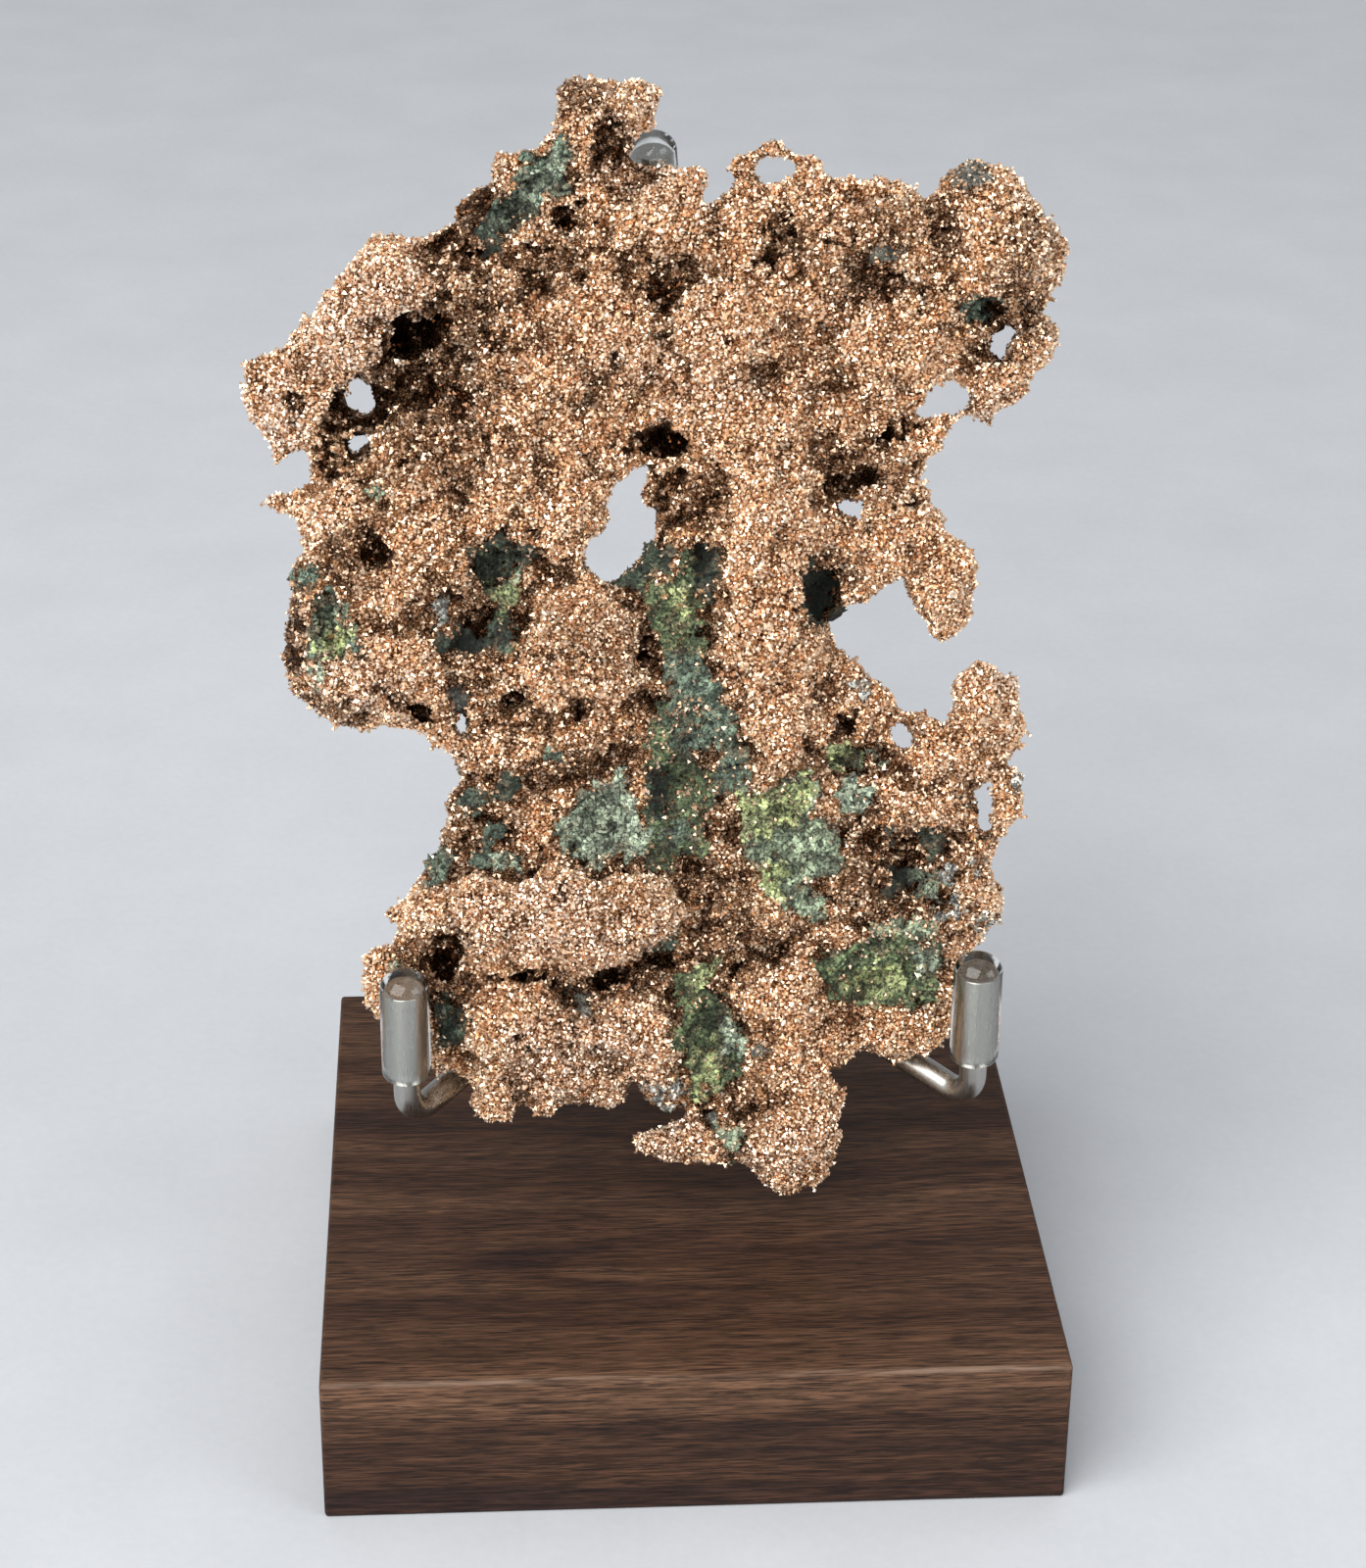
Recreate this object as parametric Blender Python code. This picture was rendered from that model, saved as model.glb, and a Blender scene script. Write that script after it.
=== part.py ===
"""Native copper nugget on its display stand.

The nugget is one sheet of grown-together copper lumps with green rock left in
it. It stands on two bent steel arms, leans back on a steel post, and is kept
off the steel by clear vinyl caps. Arms and post are one brazed frame, set in a
square walnut base.

Frame: origin at the centre of the base's underside, +Z up, front towards -Y.
Lengths are written in millimetres and turned into metres by MM.
"""

import math
from collections import namedtuple

import bmesh
import bpy
import numpy as np
from mathutils import Matrix, Vector, noise
from mathutils.geometry import delaunay_2d_cdt

MM = 0.001

# Base block.
BASE_SIDE = 101.6
BASE_HEIGHT = 22.2
BASE_EASING = 0.5
SOCKET_DEPTH = 12.0

# Steel frame. The post stands behind the nugget, bent a little to the left near
# its top. Each arm runs from it, downwards and forwards, to an upturned end in
# front of the nugget.
ROD_DIAMETER = 3.8
POST_X = -0.7
POST_Y = 25.2
POST_KNEE_Z = 132.0
POST_TOP_X = -3.4
POST_TOP_Z = 167.8
ARM_ROOT_Z = 52.5
ARM_END_Y = -15.8
ARM_BEND_RADIUS = 3.6
ARM_UPRIGHT = 16.3
ARM_SIDES = 16
KNOT_RADIUS = 3.1
Arm = namedtuple("Arm", "name x low_z")
ARMS = (Arm("left", -38.8, 41.6), Arm("right", 40.4, 42.6))

# Clear caps.
CAP_DIAMETER = 6.9
CAP_LENGTH = 17.0
CAP_CROWN = 3.2
CAP_SIDES = 16

FIT_GAP = 0.3

# Nugget. It is modelled face-on, u to the right, v up and w to the front, and
# then set back at LEAN with its v = 0 line at (SEAT_Y, SEAT_Z). Its lumps grow
# towards FOCUS, a point well in front of it and above it.
LEAN = math.radians(14.0)
SEAT_Y = -10.8
SEAT_Z = 45.0
FOCUS = Vector((-26.3, -435.7, 312.0))
SHEET_HALF = 1.3
EDGE_BLOCK_HALF = 40.0
BALL_SPACING = 3.4
BALL_RADIUS = 3.5
EDGE_RADIUS = 1.4
BEAD_SPACING = 2.0
FUSE_VOXEL = 0.95
SKIN_VOXEL = 0.7
KNOB_SIZE = 4.5
KNOB_HEIGHT = 1.8
NUGGET_TRIANGLES = 7600

OUTLINE = (
    # Top knob and the notch beside it.
    (-14.7, 139.0), (-12.9, 139.2), (-8.8, 138.8), (-7.1, 137.6), (-3.4, 137.8),
    (-2.3, 136.4), (-3.1, 133.2), (-2.0, 130.8), (-3.0, 130.3), (-5.0, 130.8),
    (-6.0, 129.5), (-5.0, 127.6), (-2.0, 127.8), (0.4, 126.7), (3.6, 125.9),
    (4.0, 124.5), (2.2, 121.9), (4.4, 120.2), (4.8, 122.5), (6.9, 124.5),
    # Thin bridge, its bay and the spike after it.
    (5.6, 125.8), (5.4, 128.0), (6.5, 128.8), (9.7, 128.9), (10.6, 130.7),
    (13.4, 129.9), (15.0, 128.3), (16.7, 128.2), (15.6, 127.0), (13.1, 126.1),
    (10.1, 127.1), (8.7, 125.8), (10.4, 125.5), (11.4, 124.2), (14.0, 124.8),
    (15.2, 126.0), (16.9, 125.7), (17.5, 128.0), (18.5, 128.9), (19.0, 126.3),
    # Top right edge.
    (21.2, 125.4), (23.2, 125.9), (24.6, 124.0), (27.9, 124.8), (31.2, 123.4),
    (35.2, 123.3), (35.6, 125.4), (37.9, 125.7), (39.6, 127.0), (41.9, 126.4),
    (42.3, 125.3), (45.0, 125.2), (48.8, 121.9), (50.2, 119.6), (52.0, 117.9),
    (52.7, 114.5), (51.8, 112.2), (49.3, 108.0), (48.5, 106.8), (50.9, 105.7),
    (51.8, 104.0), (50.3, 100.3), (47.8, 97.5), (47.6, 95.9), (46.3, 94.2),
    (45.0, 94.4), (43.3, 92.3), (42.7, 90.3), (41.3, 90.2), (41.3, 91.8),
    # Bridge end, right shoulder and the hooked arm.
    (38.6, 92.4), (35.8, 90.4), (36.0, 88.5), (33.5, 86.4), (32.8, 84.0),
    (34.4, 79.9), (36.2, 79.2), (35.7, 77.2), (37.4, 76.1), (40.8, 71.4),
    (40.1, 69.0), (39.9, 65.0), (37.2, 62.5), (36.4, 61.0), (35.0, 61.8),
    (34.8, 63.6), (30.4, 68.9), (31.3, 71.0), (29.0, 71.8), (28.8, 69.3),
    (27.0, 68.0), (25.2, 66.6), (22.4, 66.6), (21.5, 64.7), (21.8, 61.0),
    # Wide bay and the right arm with its hooked finger.
    (23.4, 58.6), (26.1, 56.0), (29.2, 54.4), (31.6, 52.0), (35.5, 50.6),
    (36.3, 49.0), (37.8, 51.6), (37.7, 54.6), (38.4, 57.6), (39.8, 58.8),
    (43.7, 58.9), (46.9, 56.8), (47.5, 50.2), (47.0, 47.8), (45.6, 44.7),
    (44.1, 43.9), (42.2, 42.4), (41.8, 39.0), (40.0, 36.4), (40.7, 34.4),
    (42.3, 36.6), (43.2, 40.0), (45.0, 43.2), (47.2, 42.9), (48.0, 39.8),
    (47.2, 36.8), (44.6, 31.8), (43.0, 29.2), (45.8, 26.0), (44.5, 22.0),
    # Lower right edge and the bottom ball.
    (42.6, 18.0), (39.8, 16.0), (39.3, 10.0), (38.2, 5.0), (34.8, 2.4),
    (32.5, 1.0), (28.6, 0.6), (27.0, 2.4), (25.4, 3.5), (23.4, 1.8),
    (20.0, 0.5), (23.1, -4.4), (21.7, -7.0), (22.5, -10.5), (22.4, -12.8),
    (21.2, -15.6), (18.8, -17.2), (15.0, -17.8), (11.8, -17.3), (8.6, -13.4),
    (5.5, -13.5), (-0.6, -14.0), (-6.4, -11.7), (-8.1, -9.7), (-6.6, -8.0),
    (-0.5, -7.6), (0.8, -6.2), (-0.4, -4.6), (-4.1, -5.0), (-5.8, -1.5),
    # Two lower shelves and the hanging spikes.
    (-6.8, 0.6), (-8.9, -3.3), (-11.5, -4.9), (-13.6, -2.9), (-18.0, -4.0),
    (-20.4, -6.3), (-21.0, -3.4), (-23.4, -2.9), (-24.5, -6.6), (-25.8, -7.7),
    (-27.4, -7.2), (-29.3, -4.4), (-29.6, -1.6), (-31.2, 0.3), (-34.4, 0.8),
    (-37.0, 4.5), (-41.0, 8.0), (-44.2, 8.5), (-45.3, 10.4), (-45.3, 17.0),
    (-44.1, 19.4), (-40.2, 21.3), (-41.3, 23.2), (-43.4, 23.7), (-42.4, 25.0),
    (-38.8, 26.2), (-36.4, 27.6), (-35.4, 31.6), (-31.9, 38.2), (-33.4, 39.4),
    (-33.3, 41.6), (-31.3, 41.4), (-31.4, 45.0), (-32.4, 47.2), (-34.9, 49.0),
    # Left lobe and the left arm.
    (-36.1, 50.3), (-41.2, 49.9), (-42.8, 50.9), (-44.2, 49.6), (-48.4, 52.1),
    (-50.9, 53.1), (-53.2, 55.4), (-54.0, 58.0), (-53.7, 66.0), (-53.4, 72.6),
    (-51.0, 75.3), (-52.2, 77.0), (-51.6, 79.3), (-55.7, 80.8), (-56.9, 82.2),
    (-54.8, 83.1), (-52.8, 84.9), (-50.2, 85.0), (-51.2, 89.6), (-53.0, 87.6),
    (-55.6, 85.8), (-54.9, 89.3), (-57.8, 92.2), (-58.6, 96.2), (-58.2, 98.6),
    (-59.5, 100.6), (-58.2, 102.4), (-56.4, 102.4), (-55.2, 103.5), (-53.4, 102.1),
    (-50.0, 105.6), (-48.7, 107.8), (-45.5, 112.4), (-42.3, 114.0), (-42.8, 116.0),
    (-41.5, 117.7), (-38.4, 118.6), (-38.3, 117.2), (-33.4, 118.0), (-31.6, 119.5),
    (-31.3, 122.0), (-25.5, 123.8), (-24.2, 128.4), (-20.8, 128.8), (-18.2, 130.2),
    (-16.6, 133.5), (-15.4, 133.8), (-16.0, 137.0),
)

HOLES = (
    # Central window.
    (
        (-6.2, 86.2), (-4.2, 86.6), (-4.2, 83.2), (-5.4, 83.2), (-6.4, 82.3),
        (-5.6, 81.0), (-4.2, 80.6), (-3.6, 77.0), (-5.0, 76.2), (-6.8, 72.9),
        (-9.5, 71.6), (-13.0, 73.2), (-12.0, 76.4), (-9.9, 78.2), (-10.6, 82.2),
        (-8.6, 82.4), (-7.7, 85.8),
    ),
    # Window in the left arm.
    ((-44.9, 90.9), (-42.5, 91.3), (-42.2, 89.2), (-42.7, 88.3), (-44.0, 89.6)),
    # Bay closed off by the bridge on the right.
    (
        (34.9, 98.7), (38.3, 97.0), (38.6, 93.9), (36.4, 93.5), (33.6, 91.9),
        (31.8, 93.5), (34.4, 96.3),
    ),
    # Small windows from top to bottom.
    ((43.0, 104.8), (44.9, 104.4), (43.7, 102.9), (45.0, 101.4), (42.0, 100.4), (42.1, 102.6)),
    ((24.8, 81.9), (23.5, 81.2), (22.7, 79.7), (23.4, 78.4), (24.8, 78.2)),
    ((22.1, 73.0), (25.3, 73.4), (24.6, 72.1), (22.6, 72.2)),
    ((38.8, 51.8), (40.5, 52.0), (40.4, 50.6), (39.1, 50.5)),
    ((-31.4, 51.6), (-30.2, 51.6), (-30.0, 49.4), (-31.3, 49.7)),
    ((30.0, 48.8), (31.2, 48.2), (33.0, 48.3), (32.0, 46.0), (30.0, 46.1)),
)

LOOPS = (OUTLINE, *HOLES)
EDGE_STARTS = np.array([point for loop in LOOPS for point in loop])
EDGE_RUNS = np.array([point for loop in LOOPS for point in loop[1:] + loop[:1]]) - EDGE_STARTS

# A lump is an ellipsoid: its middle (u, v), half width, half height, turn in
# degrees anticlockwise, the w of its outermost point and its half depth.
Lump = namedtuple("Lump", "u v wide high turn front deep")

FRONT_LUMPS = (
    # Upper shelf, which overhangs the crevice below it.
    Lump(-35, 24, 5, 6, 0, 7.5, 7.5), Lump(-27, 23, 9, 7.5, 0, 11.5, 10),
    Lump(-17, 22.5, 10, 7.5, -5, 15.5, 12), Lump(-8, 22.5, 8.5, 7, 15, 14, 10.5),
    # Lower shelf and what hangs from it.
    Lump(-23, 7, 8, 6.5, 0, 12, 10.5), Lump(-10, 7, 8, 5.5, 8, 11.5, 10),
    Lump(-4, 4, 5, 6, 0, 11, 9), Lump(-17, 0, 8, 4.5, 0, 10, 9),
    Lump(-26.5, -2, 3.5, 5.5, 0, 9, 7), Lump(-20, -3.5, 1.6, 3, 0, 5.5, 4.5),
    Lump(-10.5, -1, 4, 4, 0, 7, 6.5), Lump(-2.5, -1.5, 3.6, 3.6, 0, 7, 6.5),
    # Bottom ball, its neck and the finger on its left.
    Lump(15.5, -10.5, 7, 7.3, 0, 9.5, 9), Lump(14.5, 1, 6.5, 8, 0, 7.5, 7.5),
    Lump(14, 12, 6, 7, 0, 6.5, 6.5), Lump(7, 19, 5, 5, 0, 5.5, 6.5),
    Lump(-3, -10.8, 5, 3, 0, 7, 5.5), Lump(5, -10, 5, 3.8, 0, 6.5, 5.5),
    # Left lobe with its rim.
    Lump(-43, 58, 8, 7.5, 0, 11, 9.5), Lump(-37, 60, 5, 6, 0, 8.5, 7.5),
    Lump(-42, 69, 6.5, 5, 30, 9, 8), Lump(-51.8, 62, 2.4, 10, 0, 5.5, 5.5),
    # Rounded lobe left of the middle and its low rim.
    Lump(-13.5, 64, 7.5, 8.5, 0, 10, 9.5), Lump(-12, 57, 8.5, 4, 5, 10, 8),
    Lump(-21, 57.5, 5, 4, -20, 7, 6.5), Lump(-32.8, 53, 2.2, 3.4, 0, 6.5, 5.5),
    # Tall central ridge.
    Lump(9, 90, 9, 9, 0, 8.5, 8.5), Lump(11.5, 77, 8, 13, -4, 11.5, 10),
    Lump(12, 63, 7.5, 11, 0, 11.5, 10), Lump(13.5, 49, 7, 9.5, 0, 10, 9.5),
    # Right arm and lower right.
    Lump(36, 69, 4.6, 7, -15, 7.5, 6.5), Lump(28, 76, 8, 4.5, 0, 5.5, 6),
    Lump(28.5, 81.5, 5, 4, 0, 6.5, 6), Lump(28.5, 87.7, 5.5, 2, 8, 6.5, 5.5),
    Lump(41.5, 53, 5.6, 6, 0, 8.5, 7.5), Lump(36, 45, 6, 5, 35, 7.5, 7),
    Lump(34, 38, 6, 5, 0, 7, 6.5), Lump(45.6, 38, 2.3, 5.5, -10, 5.5, 4.5),
    Lump(41, 24, 4.3, 5, 0, 7, 6.5), Lump(39.5, 31, 4, 3.5, 0, 5.5, 5.5),
    Lump(24, 27, 4, 7, 0, 6.5, 6.5), Lump(31, 19.5, 7, 3.2, 5, 7, 6.5),
    Lump(29.5, 4.5, 7, 3.6, 10, 3, 5), Lump(25, 53, 4, 6, 40, 5.5, 6),
    # Top right.
    Lump(43.5, 114, 8.5, 9.5, 0, 9, 9), Lump(47.2, 102, 4.3, 4.3, 0, 7.5, 6.5),
    Lump(42, 96, 3.6, 5, 0, 5, 5), Lump(29, 103, 9, 9, 0, 7.5, 7.5),
    Lump(29, 117, 8, 6, 0, 6.5, 6.5), Lump(40, 122.5, 4.5, 4, 0, 5.5, 6.5),
    Lump(18.5, 112, 6, 9, 0, 7, 7.5), Lump(13, 121, 6, 3.5, 0, 4.5, 5),
    # Top middle.
    Lump(6, 105, 9, 9, 0, 8.5, 8), Lump(-9, 106, 9, 9, 0, 7.5, 7.5),
    Lump(-3, 117.5, 9, 6, 0, 6.5, 6.5), Lump(-19, 97, 9, 8.5, 0, 7.5, 7.5),
    Lump(-14, 116, 6, 4, 0, 5.5, 6.5), Lump(-9.5, 134, 6, 4.5, 0, 7, 7),
    Lump(1, 124, 3.5, 3, 0, 5, 5), Lump(12, 128.5, 4.5, 1.7, 0, 2.5, 2.5),
    # Left arm and the plate below it.
    Lump(-38.5, 111, 6.5, 7.5, -25, 7.5, 7.5), Lump(-46, 104.5, 6.5, 5, 45, 7, 6.5),
    Lump(-26, 119, 5, 4, 30, 5, 5), Lump(-50.5, 94, 2.8, 6.5, 8, 5.5, 5.5),
    Lump(-55.5, 96, 3, 5.5, 0, 2.5, 3.5), Lump(-35, 85, 9, 6.5, 0, 7, 7.5),
    Lump(-24, 84, 9, 9, 0, 7.5, 7.5), Lump(-46, 80, 5.5, 5, 0, 6.5, 6.5),
    Lump(-36, 75, 8, 6, 0, 7.5, 7.5), Lump(-17, 80, 6, 8, 0, 7.5, 7.5),
    # Between the left lobe and the shelves.
    Lump(-27, 46, 5, 5, 0, 5.5, 6.5), Lump(-17, 48, 8, 4, 5, 7, 6.5),
    Lump(-31, 36, 3.4, 4, 0, 5, 5), Lump(-18.5, 38, 3.4, 6, 0, 4.5, 5),
    Lump(5.5, 30, 3.4, 6, 0, 4.5, 5),
)

BACK_LUMPS = (
    Lump(-44, 103, 10, 8, 30, -7.5, 6), Lump(-29, 108, 10, 9, 0, -9.5, 8),
    Lump(-10, 110, 11, 10, 0, -8.5, 7), Lump(-9, 132, 5.5, 5, 0, -5, 5),
    Lump(10, 110, 11, 9, 0, -8, 7), Lump(30, 108, 11, 11, 0, -10, 8),
    Lump(44, 110, 7, 9, 0, -7, 6), Lump(-40, 92, 8, 6, 0, -8, 6),
    Lump(-45, 66, 8, 12, 0, -8, 7), Lump(-30, 76, 11, 11, 0, -11, 9),
    Lump(-17, 92, 8, 10, 0, -10, 8), Lump(4, 94, 9, 11, 10, -11, 9),
    Lump(12, 72, 10, 12, 0, -13, 10), Lump(30, 76, 7, 8, 0, -8, 7),
    Lump(-18, 60, 11, 9, 0, -12, 9), Lump(-24, 44, 8, 8, 0, -9, 7),
    Lump(4, 52, 11, 12, 0, -13, 10), Lump(20, 42, 9, 10, 0, -10, 8),
    Lump(38, 46, 7, 8, 0, -8, 7), Lump(-8, 36, 11, 9, 0, -13, 9),
    Lump(-27, 27, 9, 8, 0, -8, 7), Lump(10, 25, 11, 10, 0, -12, 9),
    Lump(32, 26, 10, 9, 0, -9, 7), Lump(-8, 16, 11, 8, 0, -11, 8),
    Lump(15, 4, 8, 9, 0, -8, 7), Lump(31, 12, 7, 6, 0, -6, 5),
    Lump(15, -9, 6, 6, 0, -6, 5), Lump(-20, 8, 9, 6, 0, -6, 5),
)

# Hollows cut into the front, as ellipsoids whose "front" is their deepest w.
PITS = (
    # Deep pocket of the left arm with the gully that leads into it.
    Lump(-42, 95.3, 5, 4.2, 0, -4.5, 10.5), Lump(-36, 97, 4, 3.6, 0, -2.5, 8.5),
    Lump(-34.5, 104.3, 6, 1.9, 22, -3.5, 9.5), Lump(-27.5, 114.6, 3, 1.6, 0, -2, 7.5),
    Lump(-51.6, 94.8, 0.9, 3.2, 15, -0.5, 5.5),
    # Seam of rock across the top left.
    Lump(-21.5, 121.5, 6.5, 2.3, 48, -2, 7.5), Lump(-15, 118.8, 3, 1.5, 0, -1, 6.5),
    # Cavity above the central window.
    Lump(-2.8, 90.2, 3.2, 2.6, 0, -4.5, 11.5), Lump(-6.6, 90, 2, 1.2, 0, -3, 9.5),
    # Rock pockets and the channel behind the left rim.
    Lump(-25.7, 72.6, 3.8, 2.6, 0, -2, 8.5), Lump(-27, 64.5, 5, 4, 0, 0, 6.5),
    Lump(-47.8, 65, 2.2, 6.5, 15, 0, 8.5), Lump(-41.2, 75, 1.8, 2.2, 0, -0.5, 7.5),
    # Crevices round the lobe left of the middle.
    Lump(-23.8, 53.4, 4.4, 1.3, 32, -2, 9.5), Lump(-35.2, 53.2, 2.2, 2.2, 0, -2, 9.5),
    Lump(-5.2, 61.5, 1.3, 5.5, 10, -2, 11.5), Lump(2.8, 73.5, 2.4, 2.2, 0, -1, 10.5),
    # Under the right side of the ridge, and the two crevices beyond it.
    Lump(19.8, 68, 2, 4.4, 0, -2.5, 10.5), Lump(29, 90.8, 4.8, 1.1, 38, -3, 9.5),
    Lump(24.6, 84.6, 4.8, 0.9, 12, -2, 8.5), Lump(23, 82.6, 2, 2, 0, -2, 8.5),
    Lump(41.2, 106.3, 2.2, 2.8, 0, -2, 9.5), Lump(48.2, 107.6, 1.3, 1.6, 0, -2, 9.5),
    Lump(12.7, 114.8, 0.9, 2.4, 0, -0.5, 7.5), Lump(22.6, 49.8, 1.3, 2.4, 0, -1, 7.5),
    # Rock patches of the middle and the lower right.
    Lump(-11, 36.5, 5.2, 5.6, 0, 0.5, 7.5), Lump(0, 44, 4.5, 10, -12, 0, 7.5),
    Lump(14.5, 33, 5.5, 8.5, 0, 0.5, 8.5), Lump(26.5, 12.7, 9.5, 3, 8, -0.5, 7.5),
    Lump(31.5, 30, 3.4, 5.5, 10, -1, 7.5), Lump(23.5, 44.3, 3.4, 2.4, 0, -0.5, 7.5),
    # Crevice below the upper shelf, the dark pocket at its end and the slit.
    Lump(-24.5, 14.7, 6.4, 1.3, 0, -2, 14.5), Lump(-10.5, 14.2, 4.6, 1.8, 22, -2, 14.5),
    Lump(-3.2, 17.3, 4.4, 2.4, 22, -2.5, 14.5), Lump(-33, 17.5, 2.6, 3.4, 0, -1.5, 9.5),
    Lump(-14.8, 8.2, 0.8, 4.2, 3, 0, 12.5), Lump(-22.6, 3.9, 1.2, 1.1, 0, 2, 8.5),
    Lump(4, 7.5, 3.3, 8, -8, 0, 8.5), Lump(-32.8, 8.5, 2.2, 4, 0, -0.5, 7.5),
)


def clear_scene():
    for obj in list(bpy.data.objects):
        bpy.data.objects.remove(obj, do_unlink=True)


def make_material(name, color, roughness, metallic, transmission=0.0):
    material = bpy.data.materials.new(name)
    material.use_nodes = True
    shader = material.node_tree.nodes["Principled BSDF"]
    shader.inputs["Base Color"].default_value = (*color, 1.0)
    shader.inputs["Roughness"].default_value = roughness
    shader.inputs["Metallic"].default_value = metallic
    shader.inputs["Transmission Weight"].default_value = transmission
    return material


def add_object(name, mesh, material=None):
    obj = bpy.data.objects.new(name, mesh)
    bpy.context.scene.collection.objects.link(obj)
    if material:
        mesh.materials.clear()
        mesh.materials.append(material)
    return obj


def mesh_from(bm, name):
    """Closes a bmesh into a new mesh datablock."""
    mesh = bpy.data.meshes.new(name)
    bm.to_mesh(mesh)
    bm.free()
    return mesh


def hide_helper(obj):
    obj.hide_render = True
    obj.display_type = "WIRE"


def evaluated_mesh(obj):
    """The object's mesh with its modifiers applied, as a new datablock."""
    graph = bpy.context.evaluated_depsgraph_get()
    return bpy.data.meshes.new_from_object(obj.evaluated_get(graph))


def add_boolean(obj, other, operation):
    modifier = obj.modifiers.new(operation.lower() + " " + other.name, "BOOLEAN")
    modifier.operation = operation
    modifier.solver = "EXACT"
    modifier.object = other
    hide_helper(other)


def build_base(material):
    """Square block with eased edges and a blind socket for the post."""
    bm = bmesh.new()
    bmesh.ops.create_cube(bm, size=1.0)
    size = Vector((BASE_SIDE, BASE_SIDE, BASE_HEIGHT)) * MM
    bmesh.ops.scale(bm, vec=size, verts=bm.verts)
    bmesh.ops.translate(bm, vec=(0, 0, BASE_HEIGHT * MM / 2), verts=bm.verts)
    bmesh.ops.bevel(
        bm, geom=bm.edges[:], offset=BASE_EASING * MM, segments=2, profile=0.5,
        affect="EDGES", material=-1,
    )
    base = add_object("walnut_base", mesh_from(bm, "walnut_base"), material)

    socket = bmesh.new()
    bmesh.ops.create_cone(
        socket, cap_ends=True, segments=ARM_SIDES, depth=2 * SOCKET_DEPTH * MM,
        radius1=(ROD_DIAMETER / 2 + FIT_GAP) * MM, radius2=(ROD_DIAMETER / 2 + FIT_GAP) * MM,
    )
    place = Vector((POST_X, POST_Y, BASE_HEIGHT)) * MM
    bmesh.ops.translate(socket, vec=place, verts=socket.verts)
    add_boolean(base, add_object("socket_cutter", mesh_from(socket, "socket")), "DIFFERENCE")
    return base


def rod_along(name, points, radius, material=None):
    """Round rod along straight runs through points in mm, ends capped."""
    curve = bpy.data.curves.new(name, "CURVE")
    curve.dimensions = "3D"
    curve.bevel_depth = radius * MM
    curve.bevel_resolution = ARM_SIDES // 4 - 1
    curve.use_fill_caps = True
    spline = curve.splines.new("POLY")
    spline.points.add(len(points) - 1)
    for point, place in zip(spline.points, points):
        point.co = (*(Vector(place) * MM), 1.0)
    guide = add_object(name + "_guide", curve)
    mesh = evaluated_mesh(guide)
    bpy.data.objects.remove(guide, do_unlink=True)
    return add_object(name, mesh, material)


def arm_path(arm):
    """Middle line of an arm: out of the post, down to its bend and straight up."""
    root = Vector((POST_X, POST_Y, ARM_ROOT_Z))
    end = Vector((arm.x, ARM_END_Y, arm.low_z))
    run = (end - root).normalized()
    up = Vector((0, 0, 1))
    angle = run.angle(up)
    start = end - run * ARM_BEND_RADIUS * math.tan(angle / 2)
    turn = run.cross(up).normalized()
    inward = turn.cross(run).normalized()
    centre = start + inward * ARM_BEND_RADIUS
    points = [root, start]
    steps = 6
    for step in range(1, steps + 1):
        swing = Matrix.Rotation(angle * step / steps, 3, turn)
        points.append(centre + swing @ (start - centre))
    points.append(points[-1] + up * ARM_UPRIGHT)
    return points


def post_path(foot_z):
    """Middle line of the post, upwards from foot_z."""
    return [
        Vector((POST_X, POST_Y, foot_z)),
        Vector((POST_X, POST_Y, POST_KNEE_Z)),
        Vector((POST_TOP_X, POST_Y, POST_TOP_Z)),
    ]


def cap_run(path):
    """Middle line of the cap on a path's last rod end, from its open end to its tip."""
    along = (path[-1] - path[-2]).normalized()
    tip = path[-1] + along * CAP_CROWN
    return tip - along * CAP_LENGTH, tip


def build_frame(material):
    """Post and two arms, brazed into one piece round a small knot."""
    foot = BASE_HEIGHT - SOCKET_DEPTH + FIT_GAP
    frame = rod_along("steel_frame", post_path(foot), ROD_DIAMETER / 2, material)
    for arm in ARMS:
        rod = rod_along(arm.name + "_arm", arm_path(arm), ROD_DIAMETER / 2)
        add_boolean(frame, rod, "UNION")
    knot = bmesh.new()
    bmesh.ops.create_uvsphere(knot, u_segments=ARM_SIDES, v_segments=10, radius=KNOT_RADIUS * MM)
    place = Vector((POST_X, POST_Y, ARM_ROOT_Z)) * MM
    bmesh.ops.translate(knot, vec=place, verts=knot.verts)
    add_boolean(frame, add_object("knot", mesh_from(knot, "knot")), "UNION")
    return frame


def build_cap(name, run, material):
    """Clear cap with a domed crown and a blind bore, open at the bottom."""
    outer = CAP_DIAMETER / 2
    bore = ROD_DIAMETER / 2 + FIT_GAP
    shoulder = CAP_LENGTH - outer
    steps = 4
    angles = [math.pi / 2 * step / steps for step in range(steps + 1)]
    crown = [(outer * math.cos(a), shoulder + outer * math.sin(a)) for a in angles]
    bore_top = CAP_LENGTH - CAP_CROWN + FIT_GAP
    profile = [(0, bore_top), (bore, bore_top), (bore, 0), (outer, 0)] + crown
    bm = bmesh.new()
    verts = [bm.verts.new((radius * MM, 0, height * MM)) for radius, height in profile]
    verts[-1].co.x = 0
    edges = [bm.edges.new(pair) for pair in zip(verts, verts[1:])]
    bmesh.ops.spin(
        bm, geom=verts + edges, cent=(0, 0, 0), axis=(0, 0, 1), angle=math.tau,
        steps=CAP_SIDES, use_merge=True,
    )
    bmesh.ops.remove_doubles(bm, verts=bm.verts, dist=0.01 * MM)
    bmesh.ops.recalc_face_normals(bm, faces=bm.faces)
    cap = add_object(name, mesh_from(bm, name), material)
    base, tip = run
    cap.location = base * MM
    cap.rotation_mode = "QUATERNION"
    cap.rotation_quaternion = Vector((0, 0, 1)).rotation_difference(tip - base)
    return cap


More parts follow.
